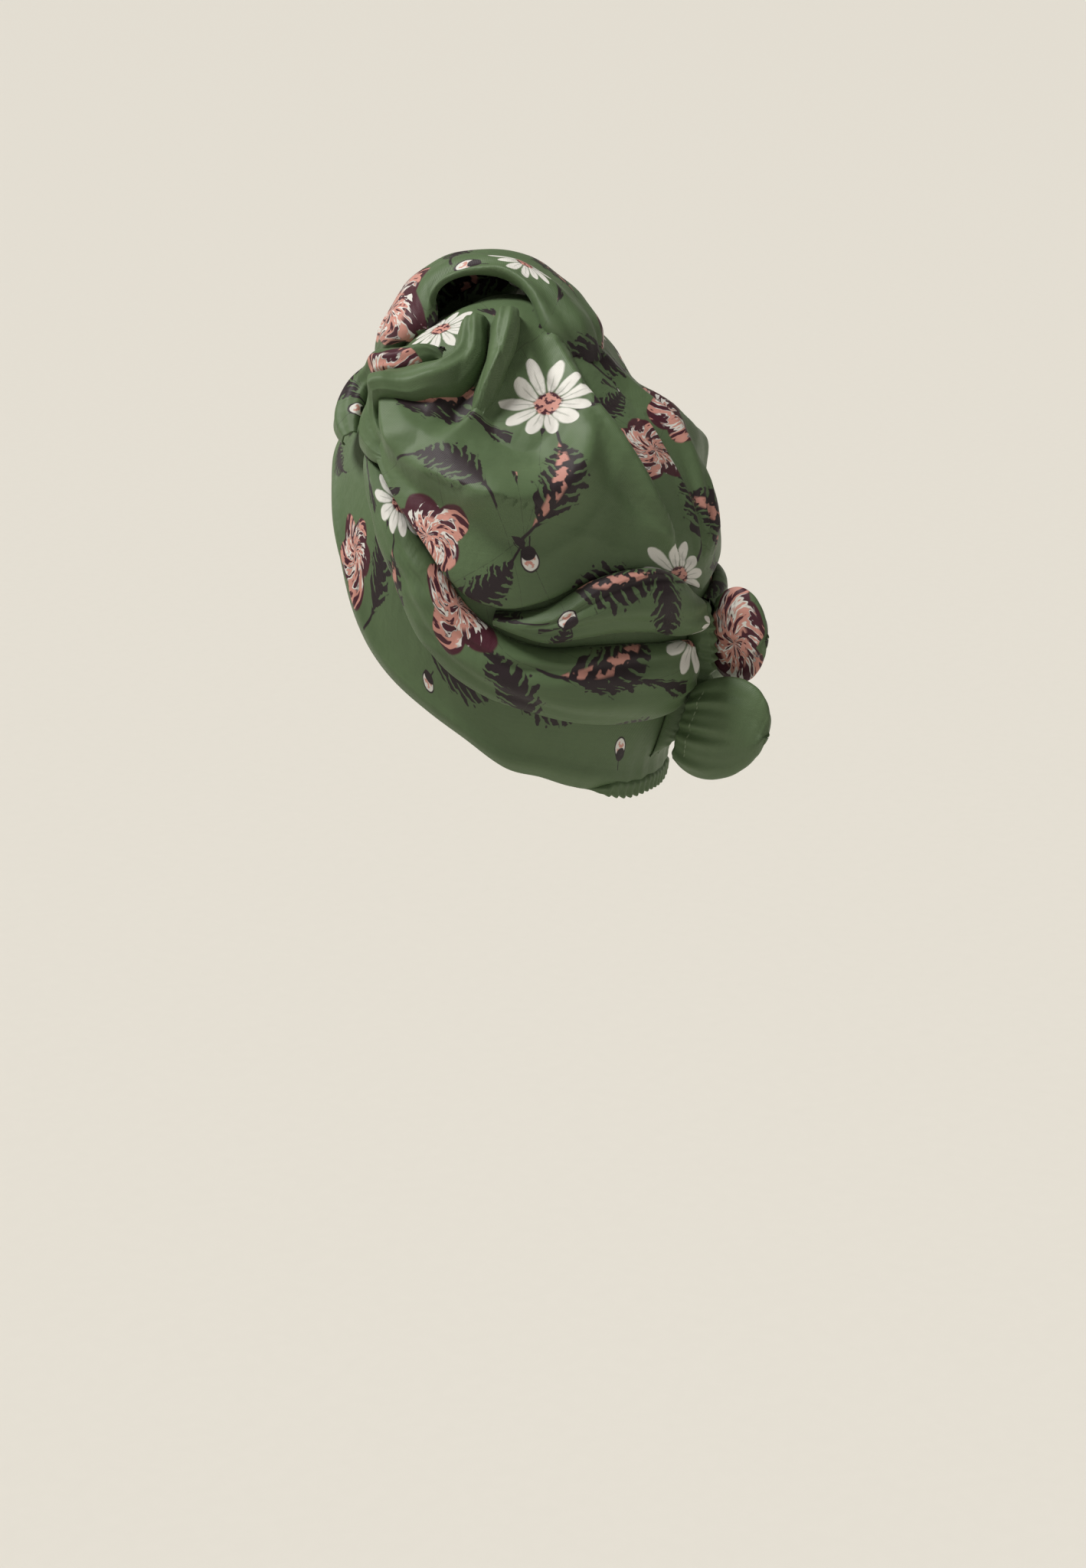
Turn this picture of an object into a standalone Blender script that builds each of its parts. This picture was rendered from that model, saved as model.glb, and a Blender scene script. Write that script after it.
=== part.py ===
"""A draped and knotted silk turban, modelled at its real size in metres.

+Z is up, the wearer's face looks towards -Y and the wearer's left hand is at +X.
The origin is the middle of the head where the turban sits, level with the brow.
Every piece is placed by an azimuth round the head (0 at the forehead, 90 at the wearer's left
ear, 180 at the back), a latitude (90 at the top of the head) and a height off the head.
"""
import bpy
import numpy as np

# The head that the turban fits
HEAD_LENGTH = 0.186
HEAD_WIDTH = 0.152
CROWN_HEIGHT = 0.092
NAPE_REACH = 0.150

# Cloth
CLOTH_WALL = 0.0015
HEAD_EASE = 0.0012
LAYER_GAP = 0.0005
FACET_SLACK = 0.0008

# How far the cloth stands off the head
CROWN_LOFT = 0.012
SWAG_LOFT = 0.0165
PLEAT_HEIGHT = 0.0085
LONG_PLEAT_WIDTH = 0.014
SHORT_PLEAT_WIDTH = 0.017
FRONT_LOOP_WIDTH = 0.013
FRONT_ROLL_LOFT = 0.016
FOLD_HEIGHT = 0.010
FOLD_WIDTH = 0.011

# The knot's hood on top, which stands over the crown
HOOD_RISE = 0.020
HOOD_HEIGHT = CROWN_HEIGHT + CROWN_LOFT + HOOD_RISE
HOOD_LENGTH = 0.104
HOOD_WIDTH = 0.066
HOOD_SAG = 0.8

# The gathered ruffle, its casing and the rim
RUFFLE_LENGTH = 0.0405
RUFFLE_HEIGHT = 0.048
RUFFLE_THICKNESS = 0.012
CASING_WIDTH = 0.009
RIM_ROLL = 0.0020
FRILL_HEIGHT = 0.0009

# Heights off the head of the band's outer face and of what lies on it
BAND_OUT = HEAD_EASE + CLOTH_WALL
SEAT_OUT = BAND_OUT + LAYER_GAP

# Colours
GREEN = (0.10, 0.155, 0.075)
DEEP_GREEN = (0.09, 0.135, 0.07)
PLUM = (0.17, 0.05, 0.06)
CLOTH_ROUGHNESS = 0.5

# Head form by latitude. The half length and the centre's shift to the back are shares of half
# HEAD_LENGTH, and the half width is a share of half HEAD_WIDTH.
HEAD_COLUMNS = ("latitude", "half_length", "half_width", "centre")
HEAD_LEVELS = (
    (-50, 0.58, 0.68, 0.12),
    (-42, 0.645, 0.72, 0.11),
    (-30, 0.83, 0.83, 0.03),
    (-15, 1.00, 0.955, -0.02),
    (0, 0.98, 1.00, 0.04),
    (15, 0.88, 0.955, 0.075),
    (30, 0.73, 0.85, 0.09),
    (45, 0.52, 0.65, 0.09),
    (60, 0.365, 0.43, 0.09),
    (75, 0.19, 0.22, 0.09),
    (90, 0.00, 0.00, 0.09),
)

# Edges round the head by azimuth. The rim is the band's lower edge, and the lip is the crown's
# overhanging lower edge. The lip's height off the head, and the crown's above it, are shares of
# CROWN_LOFT.
EDGE_COLUMNS = ("azimuth", "rim", "lip", "lip_height", "loft")
EDGES = (
    (-180, -42, -5, 0.50, 0.35),
    (-165, -42, -2, 0.50, 0.38),
    (-150, -40, 0, 0.50, 0.50),
    (-137, -38, -1, 0.55, 0.70),
    (-128, -36, -3, 0.85, 0.90),
    (-116, -34, -4, 1.10, 1.00),
    (-104, -28, 0, 1.12, 1.00),
    (-96, -24, 8, 1.10, 1.00),
    (-86, -18, 17, 1.08, 1.00),
    (-74, -7, 27, 1.10, 1.00),
    (-62, 6, 35, 1.00, 1.00),
    (-50, 17, 40, 0.80, 0.90),
    (-35, 24, 43.5, 0.65, 0.80),
    (-18, 28, 46, 0.60, 0.75),
    (0, 29, 46.5, 0.60, 0.75),
    (18, 28, 46, 0.60, 0.75),
    (35, 24, 43.5, 0.65, 0.80),
    (50, 17, 40, 0.80, 0.90),
    (62, 6, 35, 1.00, 1.00),
    (74, -7, 27, 1.10, 1.00),
    (86, -18, 17, 1.08, 1.00),
    (96, -24, 8, 1.10, 1.00),
    (104, -28, 0, 1.12, 1.00),
    (116, -34, -4, 1.10, 1.00),
    (128, -36, -3, 0.85, 0.90),
    (137, -38, -1, 0.55, 0.75),
    (150, -40, 0, 0.50, 0.55),
    (165, -42, -2, 0.50, 0.38),
    (180, -42, -5, 0.50, 0.35),
)

# Folds pressed into the crown: three points on the head, the height at each as a share of
# FOLD_HEIGHT, and the width on the two sides as shares of FOLD_WIDTH.
FOLD_COLUMNS = (
    "azimuth_0", "latitude_0", "azimuth_1", "latitude_1", "azimuth_2", "latitude_2",
    "height_0", "height_1", "height_2", "left_width", "right_width",
)
CROWN_FOLDS = {
    "left_smile_front": (62, 36, 86, 28, 112, 20, 0.5, 0.60, 0.60, 1.1, 1.5),
    "left_smile_back": (112, 20, 134, 22, 149, 40, 0.60, 1.0, 0.5, 0.9, 1.4),
    "left_bowl": (104, 38, 120, 36, 136, 44, -0.2, -0.75, -0.35, 1.8, 1.8),
    "pleat_valley": (98, 60, 101, 42, 92, 33, -0.4, -0.6, -0.3, 0.8, 0.8),
    "back_valley": (168, 56, 168, 26, 174, -4, -0.3, -0.85, -0.7, 0.6, 0.6),
    "back_ridge": (-170, 52, -168, 26, -174, 2, 0.25, 0.45, 0.2, 0.9, 0.9),
    "back_fold": (150, 62, 156, 30, 166, 4, 0.2, 0.35, 0.3, 0.9, 0.8),
    "right_smile_front": (-62, 36, -88, 26, -114, 19, 0.4, 0.45, 0.50, 1.3, 1.6),
    "right_smile_back": (-114, 19, -136, 23, -150, 42, 0.50, 0.65, 0.3, 1.3, 1.6),
    "right_bowl": (-100, 40, -120, 37, -138, 45, -0.2, -0.6, -0.3, 1.9, 1.9),
    "right_pleat": (-98, 60, -104, 46, -110, 27, 0.3, 0.6, 0.1, 0.8, 0.8),
    "right_front_pleat": (-80, 58, -84, 47, -64, 38, 0.3, 0.5, 0.5, 0.8, 0.8),
}

# Folds that lie round the head: the azimuth, the middle and half the width in degrees of
# latitude, and the height of the fold and of its upper edge above the band as shares of the
# fold's own loft. An upper edge at 0 rests on the band, and a higher one rests on the crown.
ROLL_COLUMNS = ("azimuth", "middle", "half_width", "height", "upper_seat")
LOWER_SWAG = (
    (66, 27.0, 2.0, 0.22, 0.0),
    (76, 19.5, 4.5, 0.50, 0.0),
    (86, 9.0, 7.0, 0.69, 0.0),
    (96, -1.5, 7.2, 0.81, 0.0),
    (106, -9.4, 6.2, 0.86, 0.0),
    (116, -13.8, 5.6, 0.86, 0.0),
    (128, -16.4, 5.6, 0.86, 0.0),
    (141, -17.4, 6.6, 0.89, 0.0),
    (154, -17.9, 6.8, 0.86, 0.0),
    (165, -18.2, 6.4, 0.76, 0.0),
    (171, -18.0, 6.0, 0.69, 0.0),
    (175.5, -17.8, 5.4, 0.61, 0.0),
)
BACK_PLEAT = (
    (115, -5.9, 1.0, 0.41, 0.00),
    (120, -6.5, 1.5, 0.56, 0.00),
    (128, -6.7, 2.8, 0.79, 0.12),
    (137, -4.6, 4.2, 0.91, 0.24),
    (146, -3.4, 5.0, 0.91, 0.24),
    (156, -3.8, 5.2, 0.87, 0.24),
    (165, -5.8, 4.6, 0.76, 0.22),
    (171, -7.4, 3.6, 0.67, 0.16),
    (175.5, -8.2, 3.0, 0.61, 0.10),
)
RIGHT_BACK_PLEAT = (
    (-175.5, -8.6, 2.2, 0.43, 0.0),
    (-168, -7.8, 2.6, 0.41, 0.0),
    (-152, -6.8, 2.9, 0.37, 0.0),
    (-138, -7.0, 2.4, 0.37, 0.0),
    (-124, -7.4, 1.6, 0.33, 0.0),
    (-115, -6.6, 0.8, 0.26, 0.0),
)
FRONT_ROLL = (
    (-60, 27.6, 2.0, 0.30, 0.0),
    (-52, 31.0, 3.4, 0.55, 0.0),
    (-36, 34.5, 4.4, 0.62, 0.0),
    (-12, 37.0, 4.6, 0.62, 0.0),
    (12, 37.0, 4.6, 0.62, 0.0),
    (32, 34.8, 4.4, 0.60, 0.0),
    (43, 33.0, 3.0, 0.40, 0.0),
)
ROLL_CURL = 112.0
SWAG_CURL = 106.0

# The strip of cloth that arches over the knot: its middle as shares of HOOD_WIDTH across,
# HOOD_LENGTH along and HOOD_HEIGHT up, its width as a share of HOOD_WIDTH, how far it curls to
# each side and how far it leans to the wearer's right, in degrees.
STRIP_COLUMNS = ("across", "along", "up", "width", "left_curl", "right_curl", "lean")
KNOT_HOOD = (
    (0.08, -0.505, 0.572, 0.45, 56, 50, -12),
    (0.07, -0.500, 0.650, 0.62, 74, 66, -12),
    (0.05, -0.472, 0.745, 0.82, 90, 82, -10),
    (0.00, -0.385, 0.865, 0.92, 90, 88, -6),
    (-0.04, -0.250, 0.950, 1.00, 68, 84, -2),
    (-0.06, -0.105, 0.978, 1.00, 40, 80, 0),
    (-0.08, 0.060, 0.972, 1.00, 28, 76, 2),
    (-0.08, 0.200, 0.925, 0.95, 26, 70, 4),
    (-0.06, 0.330, 0.858, 0.85, 34, 60, 4),
    (-0.04, 0.450, 0.775, 0.70, 48, 48, 4),
)

# Pleats that hug the crown: the middle by azimuth and latitude, the ridge's height above the
# crown as a share of PLEAT_HEIGHT, the width as a share of the pleat's own width, and the curl of
# its two edges in degrees.
PLEAT_COLUMNS = ("azimuth", "latitude", "height", "width", "curl")
LONG_PLEAT = (
    (117, 69, 0.95, 0.75, 100),
    (115, 60, 1.00, 0.90, 105),
    (113, 50, 0.85, 0.90, 105),
    (111, 41, 0.60, 0.80, 100),
    (110, 33, 0.35, 0.60, 95),
    (110, 26, 0.14, 0.30, 90),
)
SHORT_PLEAT = (
    (86, 66, 1.00, 0.70, 100),
    (93, 56, 1.10, 0.80, 105),
    (91, 48, 1.10, 1.00, 105),
    (82, 44, 1.00, 1.10, 105),
    (72, 40, 0.85, 0.90, 105),
    (66, 37, 0.55, 0.60, 100),
)
FRONT_LOOP = (
    (76, 54, 0.80, 0.70, 100),
    (68, 49, 1.00, 0.90, 105),
    (57, 46, 1.10, 1.00, 105),
    (50, 41, 1.10, 1.00, 105),
    (51, 36, 1.00, 1.15, 105),
    (57, 31.5, 0.80, 1.10, 105),
    (63, 28.5, 0.40, 0.60, 100),
)
CASING = (
    (180, -6.5, 0.60, 0.80, 100),
    (180, -12, 1.25, 1.00, 105),
    (180, -18, 1.48, 1.00, 105),
    (180, -25, 1.42, 1.00, 105),
    (180, -32, 0.80, 0.80, 100),
)

# The ruffle's two rounded lobes. Each has the latitude of its root on the casing, how far it sits
# to the wearer's left and how far behind the casing's ridge it starts as shares of
# RUFFLE_THICKNESS, its length, height and thickness as shares of the ruffle's own, and its turn
# and tilt in degrees.
RUFFLE_COLUMNS = ("latitude", "aside", "sunk", "length", "height", "thickness", "turn", "tilt")
UPPER_RUFFLE = (-11.6, -0.533, 0.200, 0.58, 0.854, 0.833, 0, 0)
LOWER_RUFFLE = (-25.6, 0.558, 0.133, 1.00, 1.000, 1.000, 5, 17)

# The shape of a lobe: how far out each section is as a share of the lobe's length, and its half
# height and half thickness as shares of the lobe's own height and half thickness
LOBE_COLUMNS = ("share", "half_height", "half_thickness")
LOBE = (
    (0.00, 0.36, 0.60),
    (0.12, 0.43, 0.85),
    (0.35, 0.50, 1.00),
    (0.60, 0.48, 0.90),
    (0.80, 0.38, 0.70),
    (0.93, 0.23, 0.50),
    (1.00, 0.05, 0.20),
)

# Grid counts
CROWN_AROUND = 64
CROWN_UP = 13
BAND_AROUND = 60
ROLL_STEPS = 20
ROLL_ACROSS = 6
STRIP_STEPS = 18
STRIP_ACROSS = 10
PLEAT_STEPS = 13
PLEAT_ACROSS = 6
LOBE_STEPS = 8
LOBE_ROUND = 14

FRILL_STEPS = 49

# The crown's lip: degrees above its lowest point and the share of its height, inside to outside,
# and where the crown's own rows start and end
LIP_TUCK = ((5.0, 0.0), (2.6, 0.30), (0.6, 0.68), (0.8, 0.93))
LIP_RISE = 3.6
POLE_LATITUDE = 86.0

# The band's rows from rim to top as shares of its breadth, and how many degrees its top lies
# above the crown's lip
BAND_ROWS = (0.0, 0.07, 0.16, 0.42, 0.70, 1.0)
BAND_TOP_RISE = 8.0

# The nape frill: degrees to each side of the back, ripples in a full turn, and its rows as
# degrees above the rim and shares of its height
FRILL_SPREAD = 34
FRILL_RIPPLES = 44
FRILL_ROWS = ((0.3, 1.0), (1.8, 0.6), (3.6, 0.1))

# Degrees between the points that a direction on the head is taken from
NORMAL_STEP = 0.5


def spline(x, knots, values):
    """A smooth curve through a table's values, read at x."""
    x = np.clip(x, knots[0], knots[-1])
    gaps = np.diff(knots)
    slopes = np.diff(values) / gaps
    inner = (slopes[1:] * gaps[:-1] + slopes[:-1] * gaps[1:]) / (gaps[:-1] + gaps[1:])
    tangents = np.concatenate(([slopes[0]], inner, [slopes[-1]]))
    i = np.clip(np.searchsorted(knots, x, side="right") - 1, 0, len(knots) - 2)
    t = (x - knots[i]) / gaps[i]
    return (
        (1 + 2 * t) * (1 - t) ** 2 * values[i]
        + t * (1 - t) ** 2 * gaps[i] * tangents[i]
        + t * t * (3 - 2 * t) * values[i + 1]
        + t * t * (t - 1) * gaps[i] * tangents[i + 1]
    )


def column(table, columns, name):
    """A function that reads one named column of a table at any value of its first column."""
    rows = np.array(table, float)
    return lambda x: spline(np.asarray(x, float), rows[:, 0], rows[:, columns.index(name)])


def head_surface(azimuth, latitude):
    """Points on the bare head."""
    half_length = column(HEAD_LEVELS, HEAD_COLUMNS, "half_length")(latitude) * HEAD_LENGTH / 2
    half_width = column(HEAD_LEVELS, HEAD_COLUMNS, "half_width")(latitude) * HEAD_WIDTH / 2
    centre = column(HEAD_LEVELS, HEAD_COLUMNS, "centre")(latitude) * HEAD_LENGTH / 2
    turn = np.radians(azimuth)
    reach = np.where(latitude > 0, CROWN_HEIGHT, NAPE_REACH)
    return np.stack(
        (
            half_width * np.sin(turn),
            centre - half_length * np.cos(turn),
            reach * np.sin(np.radians(latitude)),
        ),
        axis=-1,
    )


def on_head(azimuth, latitude, height):
    """Points at a height off the head."""
    azimuth, latitude, height = np.broadcast_arrays(azimuth, latitude, height)
    near = np.minimum(latitude, 90 - 3 * NORMAL_STEP)
    along = head_surface(azimuth + NORMAL_STEP, near) - head_surface(azimuth - NORMAL_STEP, near)
    up = head_surface(azimuth, near + NORMAL_STEP) - head_surface(azimuth, near - NORMAL_STEP)
    normal = np.cross(along, up)
    normal /= np.linalg.norm(normal, axis=-1, keepdims=True)
    return head_surface(azimuth, latitude) + normal * height[..., None]


def grid_normals(points, wrap):
    """Outward normals of a grid of points whose columns run round the head and rows run up."""
    if wrap:
        along = np.roll(points, -1, axis=0) - np.roll(points, 1, axis=0)
    else:
        along = np.gradient(points, axis=0)
    up = np.gradient(points, axis=1)
    normal = np.cross(along, up)
    return normal / np.maximum(np.linalg.norm(normal, axis=-1, keepdims=True), 1e-12)


def add_object(name, points, faces, colour):
    """A named object with its own cloth material, from points and faces."""
    mesh = bpy.data.meshes.new(name)
    mesh.from_pydata([tuple(p) for p in points], [], faces)
    mesh.validate()
    mesh.update()
    mesh.shade_smooth()
    material = bpy.data.materials.new(name)
    material.use_nodes = True
    surface = material.node_tree.nodes["Principled BSDF"]
    surface.inputs["Base Color"].default_value = (*colour, 1.0)
    surface.inputs["Roughness"].default_value = CLOTH_ROUGHNESS
    surface.inputs["Metallic"].default_value = 0.0
    mesh.materials.append(material)
    bpy.context.scene.collection.objects.link(bpy.data.objects.new(name, mesh))


def cloth(name, outer, colour, wrap=False, pole=False):
    """A closed cloth wall whose outer face is the grid: columns round the head, rows upwards."""
    inner = outer - grid_normals(outer, wrap) * CLOTH_WALL
    columns, rows = outer.shape[:2]
    points = [*outer.reshape(-1, 3), *inner.reshape(-1, 3)]
    inside = columns * rows
    last = columns if wrap else columns - 1
    faces = []
    for i in range(last):
        j = (i + 1) % columns
        for k in range(rows - 1):
            a, b, c, d = i * rows + k, j * rows + k, j * rows + k + 1, i * rows + k + 1
            faces.append((a, b, c, d))
            faces.append((inside + d, inside + c, inside + b, inside + a))
        low, low_next = i * rows, j * rows
        faces.append((inside + low, inside + low_next, low_next, low))
        if not pole:
            top, top_next = i * rows + rows - 1, j * rows + rows - 1
            faces.append((top, top_next, inside + top_next, inside + top))
    if pole:
        for start, grid in ((0, outer), (inside, inner)):
            centre = len(points)
            points.append(grid[:, -1].mean(axis=0))
            for i in range(columns):
                j = (i + 1) % columns
                a, b = start + i * rows + rows - 1, start + j * rows + rows - 1
                faces.append((a, b, centre) if start == 0 else (b, a, centre))
    if not wrap:
        for k in range(rows - 1):
            a, d = k, k + 1
            faces.append((inside + a, a, d, inside + d))
            a, d = (columns - 1) * rows + k, (columns - 1) * rows + k + 1
            faces.append((a, inside + a, inside + d, d))
    add_object(name, points, faces, colour)


def fold_field(azimuth, latitude, fold):
    """The height that one fold of the crown adds at each point."""
    row = dict(zip(FOLD_COLUMNS, fold))
    steps = np.linspace(0, 1, 25)
    blend = ((1 - steps) * (1 - 2 * steps), 4 * steps * (1 - steps), steps * (2 * steps - 1))
    line_azimuth = sum(b * row[f"azimuth_{n}"] for n, b in enumerate(blend))
    line_latitude = sum(b * row[f"latitude_{n}"] for n, b in enumerate(blend))
    heights = sum(b * row[f"height_{n}"] for n, b in enumerate(blend))
    radius = HEAD_LENGTH / 2
    turn = np.radians((azimuth[..., None] - line_azimuth + 180) % 360 - 180)
    across = turn * np.cos(np.radians(np.clip(line_latitude, 0, 80))) * radius
    up = np.radians(latitude[..., None] - line_latitude) * radius
    nearest = np.argmin(across**2 + up**2, axis=-1)[..., None]
    across = np.take_along_axis(across, nearest, -1)[..., 0]
    up = np.take_along_axis(up, nearest, -1)[..., 0]
    nearest = nearest[..., 0]
    step_across = np.radians(np.gradient(line_azimuth)) * np.cos(np.radians(line_latitude))
    step_up = np.radians(np.gradient(line_latitude))
    side = step_across[nearest] * up - step_up[nearest] * across
    width = np.where(side > 0, row["left_width"], row["right_width"]) * FOLD_WIDTH
    return heights[nearest] * FOLD_HEIGHT * np.exp(-(across**2 + up**2) / width**2)


def crown_height(azimuth, latitude):
    """How far the crown's cloth stands off the head at any place above its lip."""
    azimuth = (np.asarray(azimuth, float) + 180) % 360 - 180
    lip, lip_height, loft = (
        column(EDGES, EDGE_COLUMNS, c)(azimuth) for c in ("lip", "lip_height", "loft")
    )
    lip_height = lip_height * CROWN_LOFT
    start = lip + LIP_RISE
    share = np.clip((latitude - start) / (POLE_LATITUDE - start), 0, 1)
    settle = np.minimum(1.0, share * 3.0)
    settle = settle * settle * (3 - 2 * settle)
    domed = np.clip((share - 0.55) / 0.45, 0, 1)
    above = CROWN_LOFT * (loft + (1 - loft) * domed * domed * (3 - 2 * domed))
    folds = sum(fold_field(azimuth, latitude, fold) for fold in CROWN_FOLDS.values())
    calm = np.clip((latitude - start) / 6.0, 0, 1) * np.clip((90 - latitude) / 12.0, 0, 1)
    height = lip_height + (above - lip_height) * settle + folds * calm
    return np.maximum(height, SEAT_OUT + CLOTH_WALL)


def crown_cloth(azimuth, latitude):
    """A height that clears the crown's facets, which cut across its finer folds."""
    step = 360.0 / CROWN_AROUND
    first = np.floor((azimuth + 180) / step) * step - 180
    sides = []
    for edge in (first, first + step):
        start = column(EDGES, EDGE_COLUMNS, "lip")((edge + 180) % 360 - 180) + LIP_RISE
        rise = (POLE_LATITUDE - start) / CROWN_UP
        row = np.floor((latitude - start) / rise)
        low = crown_height(edge, start + row * rise)
        high = crown_height(edge, start + (row + 1) * rise)
        sides.append(low + (high - low) * ((latitude - start) / rise - row))
    return sides[0] + (sides[1] - sides[0]) * (azimuth - first) / step + FACET_SLACK


def crown():
    """The main cloth over the head, from its overhanging lip up to the knot, with its folds."""
    around = np.arange(CROWN_AROUND) * 360.0 / CROWN_AROUND - 180
    lip = column(EDGES, EDGE_COLUMNS, "lip")(around)
    lip_height = column(EDGES, EDGE_COLUMNS, "lip_height")(around) * CROWN_LOFT
    latitudes = [lip + rise for rise, _ in LIP_TUCK]
    heights = [SEAT_OUT + share * (lip_height - SEAT_OUT) for _, share in LIP_TUCK]
    start = lip + LIP_RISE
    for k in range(CROWN_UP + 1):
        latitudes.append(start + (POLE_LATITUDE - start) * k / CROWN_UP)
        heights.append(crown_height(around, latitudes[-1]))
    latitudes = np.stack(latitudes, axis=1)
    azimuths = np.broadcast_to(around[:, None], latitudes.shape)
    points = on_head(azimuths, latitudes, np.stack(heights, axis=1))
    cloth("crown", points, GREEN, wrap=True, pole=True)


def band_height(azimuth, latitude):
    """How far the band's cloth stands off the head, which is the same everywhere."""
    return BAND_OUT + 0 * azimuth + 0 * latitude


def face_band():
    """The band round the face and nape, with its rolled rim, that the other pieces sit on."""
    around = np.arange(BAND_AROUND) * 360.0 / BAND_AROUND - 180
    rim = column(EDGES, EDGE_COLUMNS, "rim")(around)
    top = column(EDGES, EDGE_COLUMNS, "lip")(around) + BAND_TOP_RISE
    shown = np.clip((np.abs(around) - 45) / 20, 0, 1) * RIM_ROLL
    latitude = np.stack([rim + (top - rim) * share for share in BAND_ROWS], axis=1)
    azimuth = np.broadcast_to(around[:, None], latitude.shape)
    height = np.full(latitude.shape, BAND_OUT)
    height[:, 1] += shown
    cloth("face_band", on_head(azimuth, latitude, height), DEEP_GREEN, wrap=True)


def nape_frill():
    """The gathered edge that shows below the band at the nape."""
    along = np.linspace(180 - FRILL_SPREAD, 180 + FRILL_SPREAD, FRILL_STEPS)
    rim = column(EDGES, EDGE_COLUMNS, "rim")((along + 180) % 360 - 180)
    ripple = np.sin(np.radians(along - 180) * FRILL_RIPPLES)
    faded = np.clip((FRILL_SPREAD - np.abs(along - 180)) / 8, 0.1, 1)
    seat = BAND_OUT + RIM_ROLL + LAYER_GAP + CLOTH_WALL
    latitude = np.stack([rim + rise * faded for rise, _ in FRILL_ROWS], axis=1)
    heights = [seat + FRILL_HEIGHT * (1 + ripple) * share for _, share in FRILL_ROWS]
    height = np.stack(heights, axis=1)
    azimuth = np.broadcast_to(along[:, None], latitude.shape)
    cloth("nape_frill", on_head(azimuth, latitude, height), DEEP_GREEN)


def roll(name, rows, loft, curl, colour, side=1):
    """A fold that lies round the head on the band, its two edges tucked under."""
    along = np.linspace(rows[0][0], rows[-1][0], ROLL_STEPS)
    read = {c: column(rows, ROLL_COLUMNS, c)(along)[:, None] for c in ROLL_COLUMNS}
    bend = np.radians(np.linspace(-curl, curl, ROLL_ACROSS + 1))
    level = (np.cos(bend) - np.cos(bend[0])) / (1 - np.cos(bend[0]))
    latitude = read["middle"] + read["half_width"] * np.sin(bend)
    upper = 0.5 + 0.5 * np.sin(bend) / np.sin(bend[-1])
    seat = read["upper_seat"] * upper
    out = SEAT_OUT + (seat + (read["height"] - seat) * level) * loft
    points = on_head(read["azimuth"] * side, latitude, out)
    if side < 0:
        points = points[::-1]
    cloth(name, points, colour)


def pleat(name, rows, loft, width, colour, under=crown_cloth):
    """A fold that hugs the cloth under it along any line, its two edges tucked under."""
    table = np.array(rows, float)
    at = np.linspace(0, len(table) - 1, PLEAT_STEPS)
    read = {c: spline(at, np.arange(len(table)), table[:, n]) for n, c in enumerate(PLEAT_COLUMNS)}
    azimuth, latitude = read["azimuth"], read["latitude"]
    level = np.full(PLEAT_STEPS, CROWN_LOFT)
    ridge = on_head(azimuth, latitude, level)
    east = on_head(azimuth + NORMAL_STEP, latitude, level) - ridge
    north = on_head(azimuth, latitude + NORMAL_STEP, level) - ridge
    outward = np.cross(east, north)
    sideways = np.cross(outward, np.gradient(ridge, axis=0))
    sideways /= np.linalg.norm(sideways, axis=1, keepdims=True)
    bend = np.radians(read["curl"])[:, None] * np.linspace(-1, 1, PLEAT_ACROSS + 1)
    offset = (read["width"] * width / 2)[:, None] * np.sin(bend)
    turns = [
        NORMAL_STEP * offset * ((sideways * way).sum(axis=1) / (way * way).sum(axis=1))[:, None]
        for way in (east, north)
    ]
    azimuth, latitude = azimuth[:, None] + turns[0], latitude[:, None] + turns[1]
    last = np.cos(np.radians(read["curl"]))[:, None]
    level = (np.cos(bend) - last) / (1 - last)
    seat = under(azimuth, latitude) + LAYER_GAP
    height = read["height"][:, None] * loft * level
    cloth(name, on_head(azimuth, latitude, seat + height), colour)


def strip(name, rows, colour):
    """A strip of cloth swept through the knot, curled down at both sides."""
    table = np.array(rows, float)
    at = np.linspace(0, len(table) - 1, STRIP_STEPS)
    read = {c: spline(at, np.arange(len(table)), table[:, n]) for n, c in enumerate(STRIP_COLUMNS)}
    size = (HOOD_WIDTH, HOOD_LENGTH, HOOD_HEIGHT)
    middle = np.stack([read[c] * s for c, s in zip(("across", "along", "up"), size)], axis=1)
    forward = np.gradient(middle, axis=0)
    forward /= np.linalg.norm(forward, axis=1, keepdims=True)
    lean = np.radians(read["lean"])
    sideways = np.stack((np.cos(lean), 0 * lean, np.sin(lean)), axis=1)
    outward = np.cross(sideways, forward)
    outward /= np.linalg.norm(outward, axis=1, keepdims=True)
    sideways = np.cross(forward, outward)
    share = np.linspace(-1, 1, STRIP_ACROSS + 1)
    curl = np.where(share > 0, read["left_curl"][:, None], read["right_curl"][:, None])
    bend = np.radians(curl) * share
    radius = (read["width"] * HOOD_WIDTH / 2)[:, None]
    points = (
        middle[:, None]
        + (radius * np.sin(bend))[..., None] * sideways[:, None]
        - (radius * (1 - np.cos(bend)) * HOOD_SAG)[..., None] * outward[:, None]
    )
    cloth(name, points[:, ::-1], colour)


def casing_ridge(latitude):
    """The height of the casing's ridge at a latitude, as a share of PLEAT_HEIGHT."""
    rows = np.array(CASING, float)[::-1]
    return spline(np.array(latitude, float), rows[:, 1], rows[:, 2])


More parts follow.
